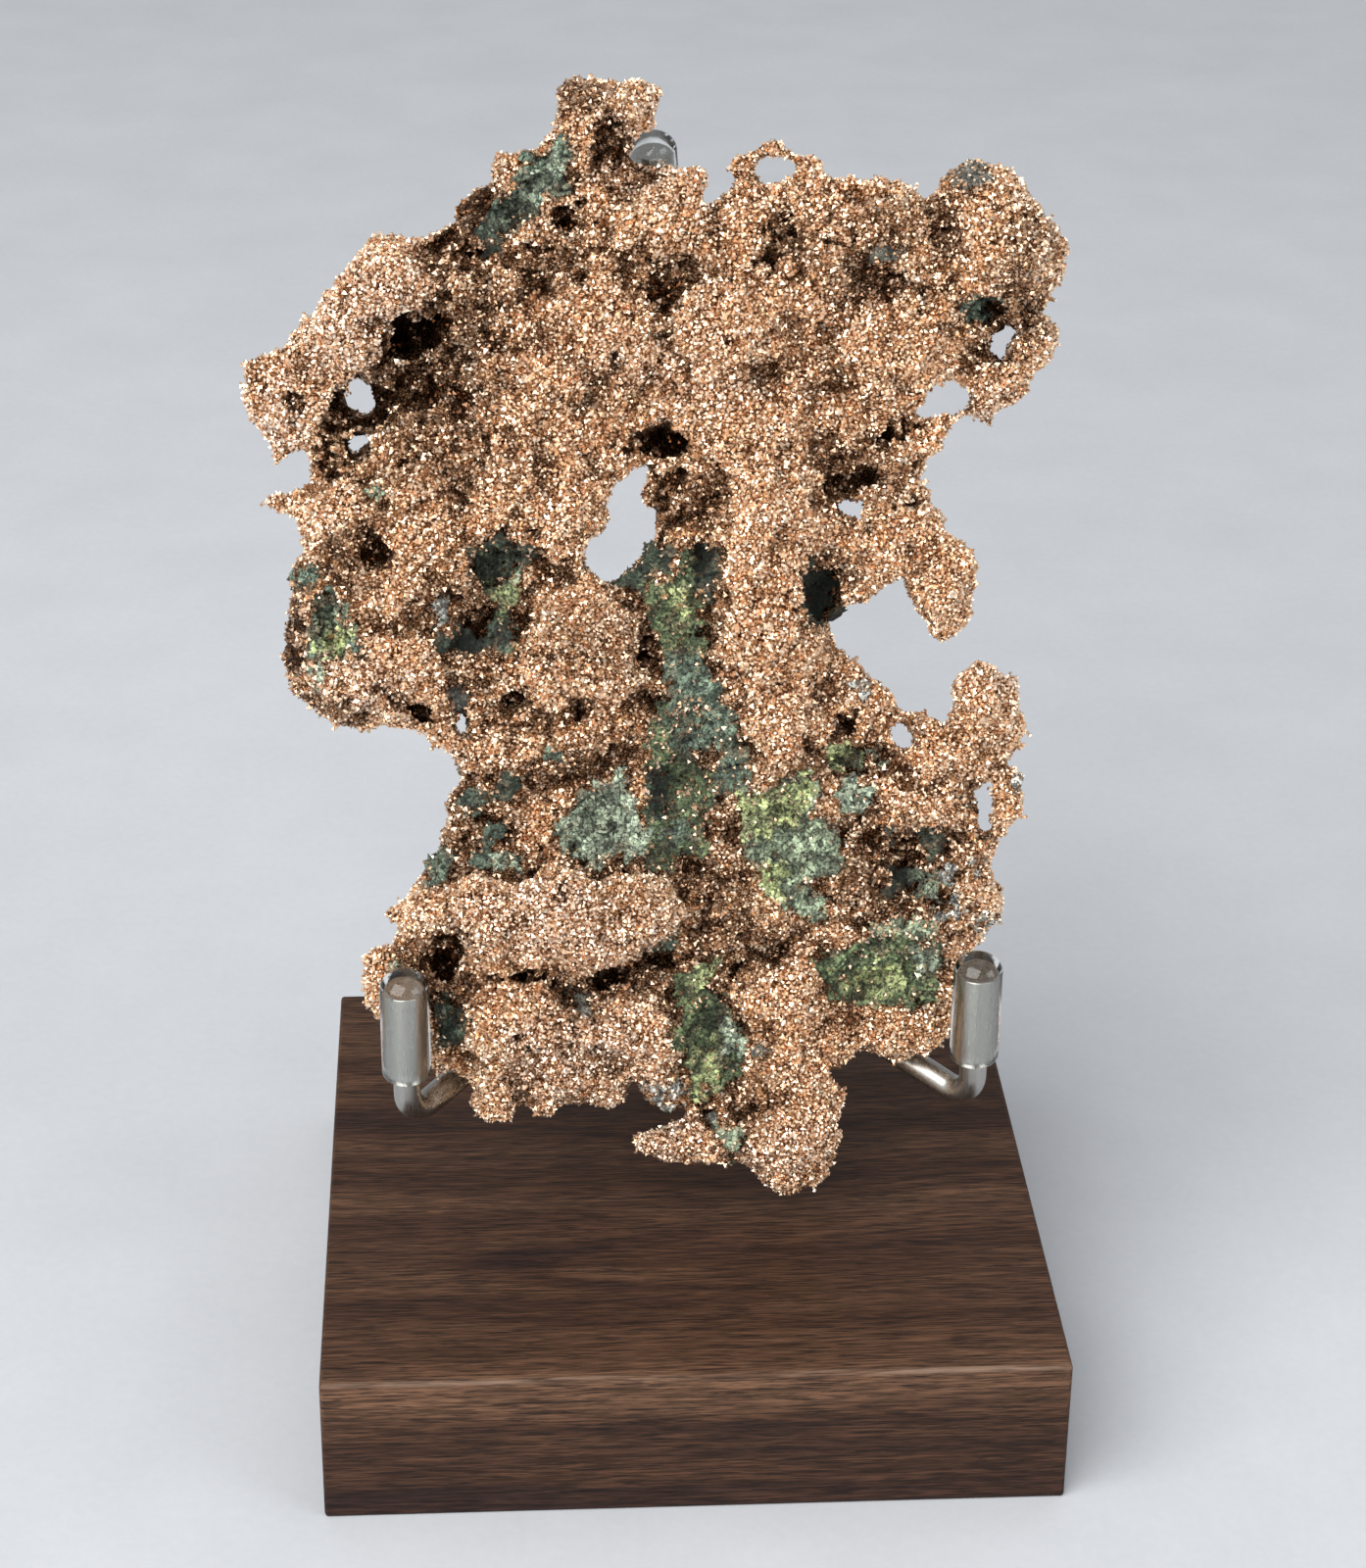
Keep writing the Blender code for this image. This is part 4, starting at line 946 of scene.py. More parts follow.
ROCK = (
    # Seam across the top left.
    Patch(Stone.TEAL, (
        (-18.8, 128.2), (-16.9, 129.6), (-14.8, 129.8), (-14.0, 128.2), (-14.4, 126.9), (-14, 125.4),
        (-14.8, 123.6), (-16.2, 122.8), (-18.4, 122.8), (-18.7, 121.8), (-19.7, 119.6), (-22.3, 118.4),
        (-23.6, 117.8), (-25.8, 116.2), (-27.4, 118), (-26.4, 120.2), (-24.2, 122), (-22.8, 123),
        (-21.8, 123.6), (-21.4, 125), (-20.5, 126.2), (-19.4, 126.7), (-20.5, 127.6),
    ), 0.03),
    Patch(Stone.PALE_TEAL, (
        (-25.4, 118.2), (-23.6, 120.6), (-20.6, 122.6), (-19.4, 125), (-16.6, 127.4), (-15.4, 126.4),
        (-16.4, 124.6), (-18.8, 123.8), (-20.6, 121), (-23.6, 118.8),
    ), 0.0),
    Patch(Stone.DARK_GREEN, ((-26.5, 117), (-25, 117.3), (-24.3, 116), (-24.6, 114.8), (-26.2, 115))),
    # Chips along the top, at the right edge and on the left arm.
    Patch(Stone.TEAL, (
        (38.8, 107.5), (39.6, 109.2), (41.6, 109.4), (42.4, 107.2), (41.6, 105), (39.4, 105.2),
    )),
    Patch(Stone.SLATE, (
        (35.8, 123.6), (36.4, 126), (38.8, 127), (41.6, 126.4), (41.2, 124), (38.6, 122.8),
    ), 0.42),
    Patch(Stone.SLATE, (
        (25.4, 113.8), (26, 115.4), (28.6, 116), (30.2, 115), (30, 113.4), (27.6, 112.8),
    ), 0.3),
    Patch(Stone.GREY_GREEN, ((-43, 83), (-42, 84.2), (-40.2, 83.8), (-40, 82.4), (-41.8, 82)), 0.3),
    # Left lobe and its rim.
    Patch(Stone.TEAL, (
        (-53.3, 73.2), (-51.2, 73.9), (-49.8, 72.9), (-49.6, 71.2), (-50.6, 70.7), (-53, 70.5),
    )),
    Patch(Stone.TEAL, (
        (-50, 66.8), (-49.5, 68.8), (-48.5, 69.5), (-47.3, 68.8), (-46.3, 67), (-46.5, 65.8), (-45, 65.1),
        (-44.4, 62.9), (-44.2, 60.8), (-46.1, 61.3), (-47.3, 61.1), (-48.5, 60.4), (-51.1, 59.8),
        (-51.3, 61.7), (-50.7, 62.7), (-50.4, 64.9),
    ), 0.02),
    Patch(Stone.GREY_GREEN, ((-49.6, 64.5), (-48.4, 67), (-47, 66), (-46.2, 63.6), (-48.6, 62.6)), 0.0),
    Patch(Stone.YELLOW_GREEN, (
        (-49.9, 61.8), (-47.5, 63), (-45.8, 64.3), (-45.5, 63.3), (-47, 62.3), (-49, 61),
    )),
    Patch(Stone.PALE_TEAL, ((-50.4, 59), (-47.8, 59.2), (-47.9, 57.4), (-49.6, 56.6), (-50.3, 57.5))),
    # Pocket between the left lobe and the middle.
    Patch(Stone.DARK_GREEN, (
        (-28.8, 72), (-28.2, 75.4), (-24, 76.2), (-20.4, 74.8), (-22.6, 71), (-27.6, 70.6),
    ), 0.3),
    Patch(Stone.GREY_GREEN, ((-27.4, 72.2), (-26, 73.8), (-24.2, 73.6), (-23.4, 72), (-25.4, 71.2)), 0.1),
    Patch(Stone.MOSS, (
        (-27.9, 70.7), (-25.6, 70.7), (-23.4, 70.2), (-23.2, 68.8), (-23.5, 67), (-24.2, 65.3),
        (-23.7, 62.9), (-22.8, 61.4), (-24.4, 61.2), (-25.9, 62.2), (-26.8, 63.9), (-26.1, 65.9),
        (-25.8, 67.8), (-27.2, 69.3),
    )),
    Patch(Stone.YELLOW_GREEN, ((-25.5, 67.2), (-25.4, 69.6), (-23.8, 69.8), (-23.7, 67.4))),
    Patch(Stone.TEAL, ((-26, 62.6), (-25.8, 64.4), (-24.6, 64.2), (-23.8, 62.2), (-24.6, 61.6))),
    Patch(Stone.PALE_GREY, ((-34.2, 66.8), (-33.1, 68), (-31.2, 66.5), (-32.5, 65.1)), 0.0),
    Patch(Stone.DARK_GREEN, (
        (-34.2, 63.4), (-32.6, 64.6), (-29.4, 64.3), (-27, 62.6), (-28.6, 60.8), (-32.4, 60.6),
    ), 0.15),
    Patch(Stone.SLATE, (
        (-31.9, 57.3), (-31.2, 57.6), (-29.6, 55.3), (-29.7, 52.1), (-30, 50.7), (-30.7, 52.1),
        (-31.3, 55),
    )),
    # Middle channel, from the window down.
    Patch(Stone.DARK_GREEN, (
        (-9.6, 71.5), (-8.3, 72.7), (-6.8, 73.2), (-5.5, 75), (-4, 76), (-1.5, 74.5), (-1, 72.5),
        (-4.6, 70.5), (-5.2, 68.5), (-7, 70.2), (-9.3, 71),
    )),
    Patch(Stone.DARK_GREEN, ((0.4, 75.4), (3.8, 75.2), (4.6, 71), (3.6, 67.8), (1, 69.5))),
    Patch(Stone.MOSS, (
        (-4.1, 70.1), (-2, 70.6), (0, 73.2), (1, 73.4), (1.6, 70), (2.6, 68.1), (1.5, 66.5), (1.8, 65.7),
        (3, 62.5), (2.9, 61.2), (1.4, 60.4), (-0.1, 60.8), (-2.2, 60.9), (-3.2, 61.5), (-3.4, 63.1),
        (-4.2, 63.7), (-4.5, 66.1), (-4.4, 68.7),
    )),
    Patch(Stone.YELLOW_GREEN, (
        (-2.3, 68.8), (-1, 69.3), (0.3, 68), (1, 66.2), (0.2, 65.6), (-1.2, 67),
    ), 0.2),
    Patch(Stone.MOSS, ((-3.2, 62), (2.8, 62), (3.2, 58.6), (-2, 57.8)), 0.25),
    Patch(Stone.TEAL, (
        (-2.2, 59.6), (0, 60.2), (3, 59.6), (4.3, 57.4), (5.5, 55.8), (5.8, 53.3), (7.3, 52.2), (7.4, 50),
        (8, 47.5), (7.8, 46.3), (6, 46.5), (4.8, 47.4), (4, 46.5), (3.5, 47.5), (2, 46.4), (0.5, 44.7),
        (-0.5, 45), (-2, 46.5), (-3.8, 46), (-4, 48.2), (-3.4, 50), (-2.5, 51.5), (-2.8, 53.2),
        (-3.3, 54.5), (-2.5, 56.5), (-1.8, 58),
    ), 0.12),
    Patch(Stone.TEAL, ((-1.5, 50.6), (-0.5, 52), (2, 53), (2.6, 52.4), (1.2, 50.8), (-0.5, 50)), 0.9),
    Patch(Stone.TEAL, (
        (4.3, 44), (5, 46), (7.6, 46.6), (8.6, 44.5), (9.6, 43.5), (9.5, 41.2), (8, 40), (6.3, 40.5),
        (4.8, 39.7), (4.1, 41.5),
    )),
    Patch(Stone.MOSS, (
        (-5.2, 50), (-3.4, 53), (-2, 47), (1, 45.4), (4.4, 42), (4.2, 38.6), (3.2, 36), (3.6, 33.5),
        (2.5, 31.5), (0, 31.2), (-2.5, 29.2), (-5, 29.5), (-6, 33), (-5.5, 37), (-4.8, 41),
    ), 0.42),
    Patch(Stone.DARK_GREEN, ((-4.6, 44), (-3, 45), (-2.2, 41), (-2.6, 37.6), (-4.2, 38.4))),
    Patch(Stone.TEAL, (
        (-2.2, 35.8), (-0.5, 36.3), (1.2, 35.6), (1.5, 34), (0, 33.4), (-1.2, 32.8), (-2.2, 33.8),
    )),
    Patch(Stone.DARK_GREEN, (
        (16.8, 70.6), (18.6, 72), (20.8, 70.8), (20.8, 67), (19.4, 63.8), (17.4, 64),
    ), 0.1),
    # Pale teal patch and the small ones left of it.
    Patch(Stone.PALE_TEAL, (
        (-14.3, 41.1), (-12.1, 42.1), (-10.1, 42.2), (-8.7, 43.3), (-7.9, 43.4), (-7.3, 42.1),
        (-6.8, 40.7), (-5.9, 39.8), (-6.2, 38.4), (-5.7, 36.9), (-4.6, 34.9), (-5.7, 32.6), (-7.4, 31.5),
        (-9.6, 32.1), (-11.3, 30.6), (-13, 31), (-15, 31.6), (-16.4, 32.8), (-18, 34), (-17.8, 35.7),
        (-16.8, 37.1), (-15, 37.4), (-14.4, 38.8), (-14.7, 40),
    ), 0.03),
    Patch(Stone.TEAL, (
        (-18.9, 46.1), (-17.8, 46.8), (-16.2, 47), (-16.4, 45.8), (-17.1, 44.9), (-18.7, 45.4),
    )),
    Patch(Stone.TEAL, (
        (-30.7, 40.7), (-29.3, 42), (-27.3, 41.3), (-27.5, 40.2), (-29.3, 38.8), (-31.2, 38.8),
        (-31.4, 39.5),
    )),
    Patch(Stone.DARK_GREEN, (
        (-24.4, 43.7), (-22.6, 43.4), (-21.6, 42.5), (-21.8, 41.3), (-23.4, 41.1), (-24.3, 40),
        (-25.7, 39.3), (-26.8, 39.5), (-27.1, 40.4), (-25.7, 41.3),
    )),
    Patch(Stone.TEAL, (
        (-26.7, 36), (-24.9, 36.9), (-24, 35.5), (-25.6, 34.1), (-25.8, 33.2), (-26.8, 32), (-27.5, 30.9),
        (-28.6, 30.9), (-30.2, 31.3), (-29.9, 32.3), (-28.1, 32.7), (-27.2, 34.1),
    )),
    Patch(Stone.PALE_TEAL, (
        (-25.2, 32.3), (-24, 33.2), (-22.2, 32.7), (-21.9, 31.3), (-22.5, 30.2), (-24.5, 30.3),
        (-25.4, 30.9),
    )),
    Patch(Stone.TEAL, (
        (-34.2, 33.5), (-33.3, 33), (-31.7, 32.3), (-32.6, 30.9), (-33.6, 29.7), (-34.7, 28.8),
        (-35.9, 28.3), (-36.1, 29.7), (-35.4, 31.3),
    )),
    # Yellow-green patch, which ends in a tail.
    Patch(Stone.GREY_GREEN, (
        (8, 40), (10, 40.6), (12.9, 41.3), (14.6, 42.2), (16.4, 43), (18.6, 42.9), (19.3, 41.5),
        (19.6, 40.8), (18.8, 39), (18.8, 37.5), (19.6, 36), (21.5, 35.2), (22, 33.4), (22.3, 31.4),
        (22, 28.9), (21.3, 27.9), (18.8, 28.1), (17.3, 27.7), (18.6, 26.4), (19.8, 23.8), (19.9, 21.8),
        (19.1, 21.1), (17.1, 22.6), (15.6, 23.1), (14.1, 23.9), (12, 25), (11.4, 27.5), (11.4, 29.2),
        (9.7, 31.2), (8.9, 33.2), (8.3, 35.3), (7.8, 37.6),
    ), 0.06),
    Patch(Stone.YELLOW_GREEN, (
        (8.3, 39.6), (12, 40.6), (15, 41.2), (18, 42), (18.5, 41), (16.5, 38.5), (14.5, 36), (12.5, 34.6),
        (9.5, 34), (8.4, 36.5),
    )),
    Patch(Stone.YELLOW_GREEN, ((11.8, 29.3), (14, 30), (14.8, 28.5), (14.5, 26), (13, 24.9), (12, 26))),
    # Bits to the right of that patch.
    Patch(Stone.YELLOW_GREEN, (
        (20, 46.8), (20.8, 47.8), (22.3, 47.8), (23.5, 47.2), (24.5, 45.7), (24.9, 45), (24.2, 44),
        (23, 43.2), (21.3, 43.4), (20.3, 44.3), (19.9, 45.5),
    )),
    Patch(Stone.GREY_GREEN, ((24.9, 46.3), (26.5, 46.6), (28, 46), (27.9, 45), (26, 44.8), (24.9, 45))),
    Patch(Stone.PALE_TEAL, (
        (21.3, 39.5), (22.3, 42), (24.2, 42.2), (25.2, 41.4), (26.2, 40.3), (26, 38.3), (25.5, 36.8),
        (24.5, 36.6), (23.5, 37.4), (22.3, 38.4),
    )),
    Patch(Stone.SLATE, ((28, 35.5), (29.5, 35.8), (30, 34.5), (29.2, 33), (28, 33.8))),
    Patch(Stone.DARK_GREEN, (
        (32.6, 34), (33.6, 34.8), (36.8, 34.5), (36.5, 32.5), (35.1, 30), (34.3, 30.2), (33.3, 31.5),
    )),
    Patch(Stone.DARK_GREEN, (
        (30, 29.5), (31.8, 29.2), (32, 27), (30.6, 25.2), (29, 24.2), (28.6, 25.5), (29.8, 27.5),
    )),
    Patch(Stone.GREY_GREEN, ((32.5, 25.5), (33, 29), (35.5, 29.6), (37, 27.5), (36, 25)), 0.4),
    Patch(Stone.PALE_GREY, (
        (36.8, 25.5), (38, 25.8), (39.7, 24), (39.6, 22.6), (38, 22.2), (36.9, 23.5),
    ), 0.0),
    Patch(Stone.PALE_GREY, ((35.6, 21.6), (36.4, 22.6), (37.5, 22.2), (36.8, 21.2)), 0.0),
    Patch(Stone.PALE_GREY, ((39.8, 29), (40.2, 31.5), (41.3, 31), (41, 28)), 0.0),
    Patch(Stone.PALE_GREY, ((37.2, 28.4), (38, 29), (38.8, 28.4), (38, 27.4)), 0.0),
    Patch(Stone.PALE_GREY, ((46.2, 41.4), (47, 42.2), (47.8, 41.4), (47, 40.6)), 0.0),
    Patch(Stone.PALE_GREY, ((41.5, 20.4), (42.2, 22.6), (43.4, 22), (43, 19.5)), 0.1),
    Patch(Stone.PALE_GREY, ((24, 55), (24.8, 57), (26.6, 56.8), (27, 54.8), (25.4, 54)), 0.1),
    Patch(Stone.DARK_GREEN, ((39.6, 38.4), (40.4, 39.6), (41.6, 39), (41, 37.9))),
    Patch(Stone.GREY_GREEN, (
        (25, 19), (27.5, 22), (31, 22.8), (35, 22.4), (36, 19.5), (31, 17.6), (27, 17.4),
    ), 0.5),
    # Vertical band under the shelf.
    Patch(Stone.MOSS, (
        (-1.5, 14.8), (0.1, 13.5), (0.9, 12.5), (2.3, 15.3), (4.1, 15.7), (4.4, 14.4), (4.2, 12.7),
        (4.9, 10.7), (6.2, 9), (7.5, 7.4), (8.6, 6.4), (8.3, 3.7), (8.8, 1), (8.1, -0.3), (6.5, -0.9),
        (4.9, -2.2), (3.3, -3.8), (1.7, -4.1), (0.6, -4.1), (0.7, -0.8), (1.7, 1.9), (0.1, 3.2),
        (-1.2, 3.9), (-1.1, 5.9), (-0.3, 8.2), (-1.1, 10.2), (-0.6, 12.2), (-1.9, 13.5),
    )),
    Patch(Stone.YELLOW_GREEN, ((1.6, -2.8), (2.4, 2), (3.6, 4), (4.4, 1.4), (4, -2), (2.6, -3.2))),
    Patch(Stone.YELLOW_GREEN, ((2.4, 12.4), (2.6, 15), (4, 15.3), (4.1, 12.8), (3.2, 11.8))),
    Patch(Stone.PALE_TEAL, ((5.2, 3), (5.4, 7.6), (6.6, 7.8), (8.2, 5.6), (7.8, 2.8), (6.4, 2.4))),
    Patch(Stone.TEAL, ((-3.8, 18), (-3.2, 19), (-0.8, 20.3), (-1.5, 19), (-2.8, 17.6))),
    # Band on the low right.
    Patch(Stone.MOSS, (
        (17.2, 15.4), (20.5, 17), (24.3, 18.4), (28, 17.6), (30.4, 18.6), (33.2, 19.4), (35.8, 18.2),
        (37.2, 15.8), (36.6, 12.4), (35.2, 10.2), (32.7, 8.6), (30.3, 9.2), (27.1, 9), (24.4, 9.8),
        (22.6, 10.4), (20.6, 11.6), (19, 13.6),
    ), 0.12),
    Patch(Stone.YELLOW_GREEN, (
        (22.8, 12.4), (24.6, 13.6), (27, 15.2), (29.6, 14.6), (30.4, 12.8), (28.6, 11.8), (26, 11.2),
    ), 0.1),
    Patch(Stone.PALE_TEAL, (
        (32.2, 15), (32.8, 17.2), (35, 17.4), (36.2, 16), (35.6, 14.6), (33.6, 14.4),
    )),
    # Low bits.
    Patch(Stone.PALE_GREY, (
        (-5.7, -1.5), (-5, -3.4), (-3.6, -5.1), (-1.5, -4.6), (0.2, -3.8), (0.8, -1.2), (-0.6, -0.8),
        (-3.8, -2.3),
    ), 0.15),
    Patch(Stone.TEAL, ((-2.8, -6.4), (-1.8, -5.4), (0, -5.6), (-0.6, -7), (-2.2, -7))),
    Patch(Stone.SLATE, ((2.6, -6.8), (3.2, -5.8), (4.8, -6.2), (4.4, -7.5), (3.2, -7.5))),
    Patch(Stone.SLATE, ((9.4, 2), (10.2, 3.6), (11.6, 3), (11, 1.5))),
    Patch(Stone.SLATE, ((-16, 10.5), (-15.2, 12), (-13.4, 11.4), (-13, 9), (-14.2, 8)), 0.1),
    Patch(Stone.DARK_GREEN, (
        (-35, 5), (-34.6, 11), (-32.6, 12), (-31.2, 9), (-31.4, 5), (-33.4, 4),
    ), 0.25),
    Patch(Stone.TEAL, ((-34.6, 7.5), (-34, 10), (-32.4, 9.6), (-32.8, 7))),
    Patch(Stone.PALE_TEAL, ((-41, 16.6), (-40.2, 18), (-39, 17.4), (-39.6, 16))),
    Patch(Stone.GREY_GREEN, ((4, -10.5), (5, -8.2), (8, -8.6), (9, -11), (6.6, -13)), 0.3),
)

# Dark ovals on the front: each sinks the skin by its depth, and its darkness is painted shade in crevices,
# holes, pockets and under shelves.
HOLLOWS = (
    # Broad dark patches, which are hardly sunk: partly stains and partly painted shade, as along the left
    # lobe's edges, and the notch beside the top knob.
    Hollow(-30, 104, 11.0, 7.0, 45, 0.62, 0.3), Hollow(-34, 96, 11.0, 6.0, 10, 0.62, 0.3),
    Hollow(-17, 114, 8.0, 4.0, 40, 0.5, 0.2), Hollow(-28.6, 119.6, 8.0, 3.8, 60, 1.0, 0.3),
    Hollow(-2.6, 111.5, 4.4, 5.4, 0, 0.62, 0.2), Hollow(2.0, 81, 4.6, 6.5, 0, 0.6, 0.3),
    Hollow(25, 85, 7.0, 5.0, 0, 0.4, 0.2), Hollow(-27, 66, 7.0, 9.0, 0, 0.6, 0.2),
    Hollow(26, 29, 9.0, 8.0, 0, 0.55, 0.2), Hollow(0, 36, 9.0, 13.0, 0, 0.30, 0.2),
    Hollow(-11, 62, 9.0, 8.0, 0, 0.28, 0.1), Hollow(-14, 45, 12.0, 4.0, 6, 0.5, 0.2),
    Hollow(6, 28, 6.0, 9.0, 0, 0.5, 0.2), Hollow(-33, 88, 12.0, 6.0, 0, 0.3, 0.1),
    Hollow(-30, 38, 8.0, 8.0, 0, 0.5, 0.2), Hollow(-34, 16, 6.0, 7.0, 0, 0.6, 0.3),
    Hollow(36, 28, 4.0, 8.0, 0, 0.5, 0.2), Hollow(24, 112, 9.0, 4.0, -15, 0.4, 0.1),
    Hollow(8, 18, 8.0, 5.0, 20, 0.5, 0.2), Hollow(46, 108, 5.0, 8.0, 0, 0.5, 0.2),
    Hollow(48, 118, 4.5, 6.0, 0, 0.45, 0.2), Hollow(20, 44, 9.0, 4.0, 0, 0.4, 0.1),
    Hollow(-46, 72, 6.0, 4.0, 0, 0.4, 0.1), Hollow(-8, 14, 9.0, 3.0, 20, 0.6, 0.2),
    Hollow(-9.2, 129.2, 3.8, 4.2, 20, 0.92, 1.0), Hollow(-13.8, 136.4, 6.5, 4.0, 0, 0.55, 0.1),
    Hollow(14.2, 117, 4.4, 4.4, 0, 0.5, 0.2), Hollow(29.4, 118, 6.0, 5.0, 0, 0.45, 0.1),
    Hollow(-55.0, 63, 3.4, 10.0, 0, 1.0, 0.2), Hollow(-48.4, 53.2, 7.0, 2.4, -24, 0.7, 0.2),
    Hollow(-31.4, 56, 2.4, 5.0, 0, 0.6, 0.3), Hollow(3.6, 4, 4.0, 9.0, -15, 0.28, 0.1),
    # Crevices round the seam at the top left.
    Hollow(-18.8, 127.6, 1.5, 1.4), Hollow(-14.8, 124.6, 0.8, 0.8), Hollow(-22.7, 122.4, 0.8, 0.5),
    Hollow(-28.6, 115.4, 1.9, 2.2), Hollow(-27.4, 111.4, 1.2, 2.0, 0, 0.9, 1.0),
    Hollow(-31.4, 109.8, 1.7, 2.2), Hollow(-32.8, 107.2, 3.4, 1.3), Hollow(-24.4, 114.8, 1.7, 1.0),
    Hollow(-15.0, 120.2, 3.2, 1.2, -6, 1.0, 1.6), Hollow(-19.0, 115.0, 1.5, 0.6),
    Hollow(-10.8, 127.2, 1.2, 1.6, 0, 0.7, 0.8), Hollow(-8, 131.8, 1.2, 1.1, 0, 0.7),
    Hollow(-2.6, 111.5, 2.8, 3.6, 0, 0.6, 0.8),
    # Pocket and gully at the left.
    Hollow(-44.4, 95.0, 2.4, 4.0, 28, 1.0, 1.8), Hollow(-36, 104.4, 7.4, 2.0, 44, 1.0, 1.8),
    Hollow(-40.6, 99.6, 3.2, 2.2, 44, 1.0, 1.6), Hollow(-46.4, 92.0, 1.6, 5.4, 10, 1.0, 1.4),
    Hollow(-41.0, 94.6, 4.2, 2.2, 12, 0.95, 1.2), Hollow(-48, 86.6, 1.6, 2.4, 0, 0.9, 0.9),
    Hollow(-52, 95.6, 0.8, 2.8, 20), Hollow(-37, 96.4, 4.4, 2.2, 20, 0.85, 1.0),
    Hollow(-31.6, 101.4, 3.0, 2.2, 40, 0.7, 0.8), Hollow(-41.8, 75, 1.8, 1.2, 20, 0.35, 0.2),
    Hollow(-36.5, 88.4, 2.2, 1.0, 15, 0.7), Hollow(-28, 90.4, 2.0, 0.9, 0, 0.6),
    Hollow(-45.4, 86.4, 1.6, 0.9, 0, 0.7),
    # Top right.
    Hollow(12.2, 115.0, 1.2, 3.0, 0, 1.0, 2.0), Hollow(15.0, 119.0, 2.0, 1.0, 10, 1.0, 1.4),
    Hollow(48.8, 106.8, 2.8, 1.3, 35, 1.0, 1.6), Hollow(43.4, 106.4, 0.9, 2.4, 0, 1.0, 1.2),
    Hollow(38.0, 108, 0.8, 2.0, 0, 0.9, 0.9), Hollow(29.4, 111.0, 1.7, 0.9, 0, 0.9, 1.0),
    Hollow(40.6, 103.4, 1.8, 1.0), Hollow(22.5, 117, 1.4, 0.8, 30, 0.6),
    Hollow(33, 108.4, 1.7, 0.9, -20, 0.6), Hollow(36, 115.4, 1.3, 0.8, 10, 0.6),
    Hollow(43.4, 118.5, 1.0, 1.4, 0, 0.6), Hollow(19, 104.5, 1.6, 0.8, 0, 0.5),
    Hollow(-9, 100.4, 1.4, 0.7, 0, 0.4),
    # Cavity over the window, and the crevices right of it.
    Hollow(-1.6, 89.4, 2.8, 2.0, 0, 1.0, 1.8), Hollow(-6.0, 89.4, 2.8, 0.9, 8, 1.0, 1.0),
    Hollow(-1.0, 86.0, 2.2, 2.6, 0, 0.9, 1.0), Hollow(-2.2, 81.0, 2.4, 6.4, 0, 0.9, 0.5),
    Hollow(23.6, 87.6, 3.0, 0.9, 38, 1.0, 1.6), Hollow(21.2, 83.4, 1.0, 2.2, 8, 0.9, 1.2),
    Hollow(30.4, 91.4, 3.0, 0.9, 40, 1.0, 1.5), Hollow(25.4, 77.8, 1.8, 0.9, 0, 0.8),
    Hollow(32.4, 80.6, 1.4, 0.8, 20, 0.7),
    # Holes round the left lobe.
    Hollow(-24.0, 74.0, 4.8, 2.4, -6, 0.88, 0.8), Hollow(-30.5, 62.2, 3.4, 1.6, 0, 0.7, 0.8),
    Hollow(-29.6, 70.4, 2.4, 1.6, 30, 0.7, 0.5), Hollow(-26.8, 66.4, 0.9, 1.2),
    Hollow(-29.6, 61.6, 2.4, 0.9), Hollow(-31.6, 68.6, 1.6, 0.9),
    Hollow(-23.4, 54.4, 2.7, 1.1, 14, 1.0, 1.8), Hollow(-37, 53.4, 4.8, 1.3, -36, 1.0, 1.5),
    Hollow(-39.4, 55.6, 0.8, 1.1), Hollow(-14.8, 53.4, 1.8, 0.9, 0, 1.0, 1.2),
    Hollow(-20.4, 53, 1.6, 0.5, 10), Hollow(-44.4, 60.2, 0.8, 1.6, 0, 0.7),
    Hollow(-33, 60.4, 1.1, 0.9, 0, 0.8),
    # Middle.
    Hollow(2.4, 72.6, 1.4, 2.6, 12, 0.9, 1.2), Hollow(-4, 60.6, 0.7, 3.6, -12, 1.0, 1.4),
    Hollow(-6.6, 48.8, 1.2, 1.3, 0, 0.8, 1.0), Hollow(19.0, 68.4, 2.5, 4.6, 6, 0.95, 1.9),
    Hollow(-8.8, 31.6, 1.4, 0.7), Hollow(-16.9, 27.4, 0.7, 1.7), Hollow(8.6, 38.6, 0.5, 2.2, 0, 0.7),
    Hollow(-25.6, 42.2, 2.2, 0.5, 52, 0.9, 0.8), Hollow(-30.4, 44.6, 1.2, 1.8, 0, 0.6),
    Hollow(-2.4, 42.4, 1.2, 2.4, 20, 0.7, 0.8),
    # Right side and low right.
    Hollow(22.8, 49.8, 0.9, 1.6), Hollow(27.2, 42.6, 1.2, 1.0, 0, 0.8),
    Hollow(28.6, 30, 1.6, 2.0, 0, 0.9), Hollow(31.6, 32.4, 1.3, 2.2, 0, 0.9),
    Hollow(34.2, 24.6, 1.8, 1.2, 0, 0.8), Hollow(38, 32, 0.9, 1.6, 0, 0.9), Hollow(28, 17.4, 5.0, 0.8, 4),
    Hollow(24, 24.6, 1.4, 1.4, 0, 0.7),
    # Under the shelves, where the darkness is painted shadow.
    Hollow(-22, 14.6, 6.4, 0.9, 0, 1.0, 1.8), Hollow(-8.5, 14.0, 4.6, 1.2, 24, 0.9, 1.6),
    Hollow(-33, 17.4, 2.4, 1.8, 0, 0.5, 0.4), Hollow(-0.4, 16.4, 3.6, 0.9, 14, 1.0, 1.6),
    Hollow(6.8, 13.8, 2.4, 2.0, 30, 0.7, 1.2), Hollow(-15, 7, 0.7, 2.2, 0, 0.9),
    Hollow(-22.5, 3.8, 1.4, 1.1, 0, 0.9), Hollow(-17.6, 9.2, 0.9, 0.9, 0, 0.8),
    Hollow(-9.4, 8.6, 1.0, 1.6, 20, 0.6), Hollow(1.4, -5.4, 2.6, 1.0, 10, 0.9),
    Hollow(10.6, -5.4, 1.0, 1.6, 0, 0.5), Hollow(-21, 29.4, 2.6, 0.8, -10, 0.6, 0.8),
)


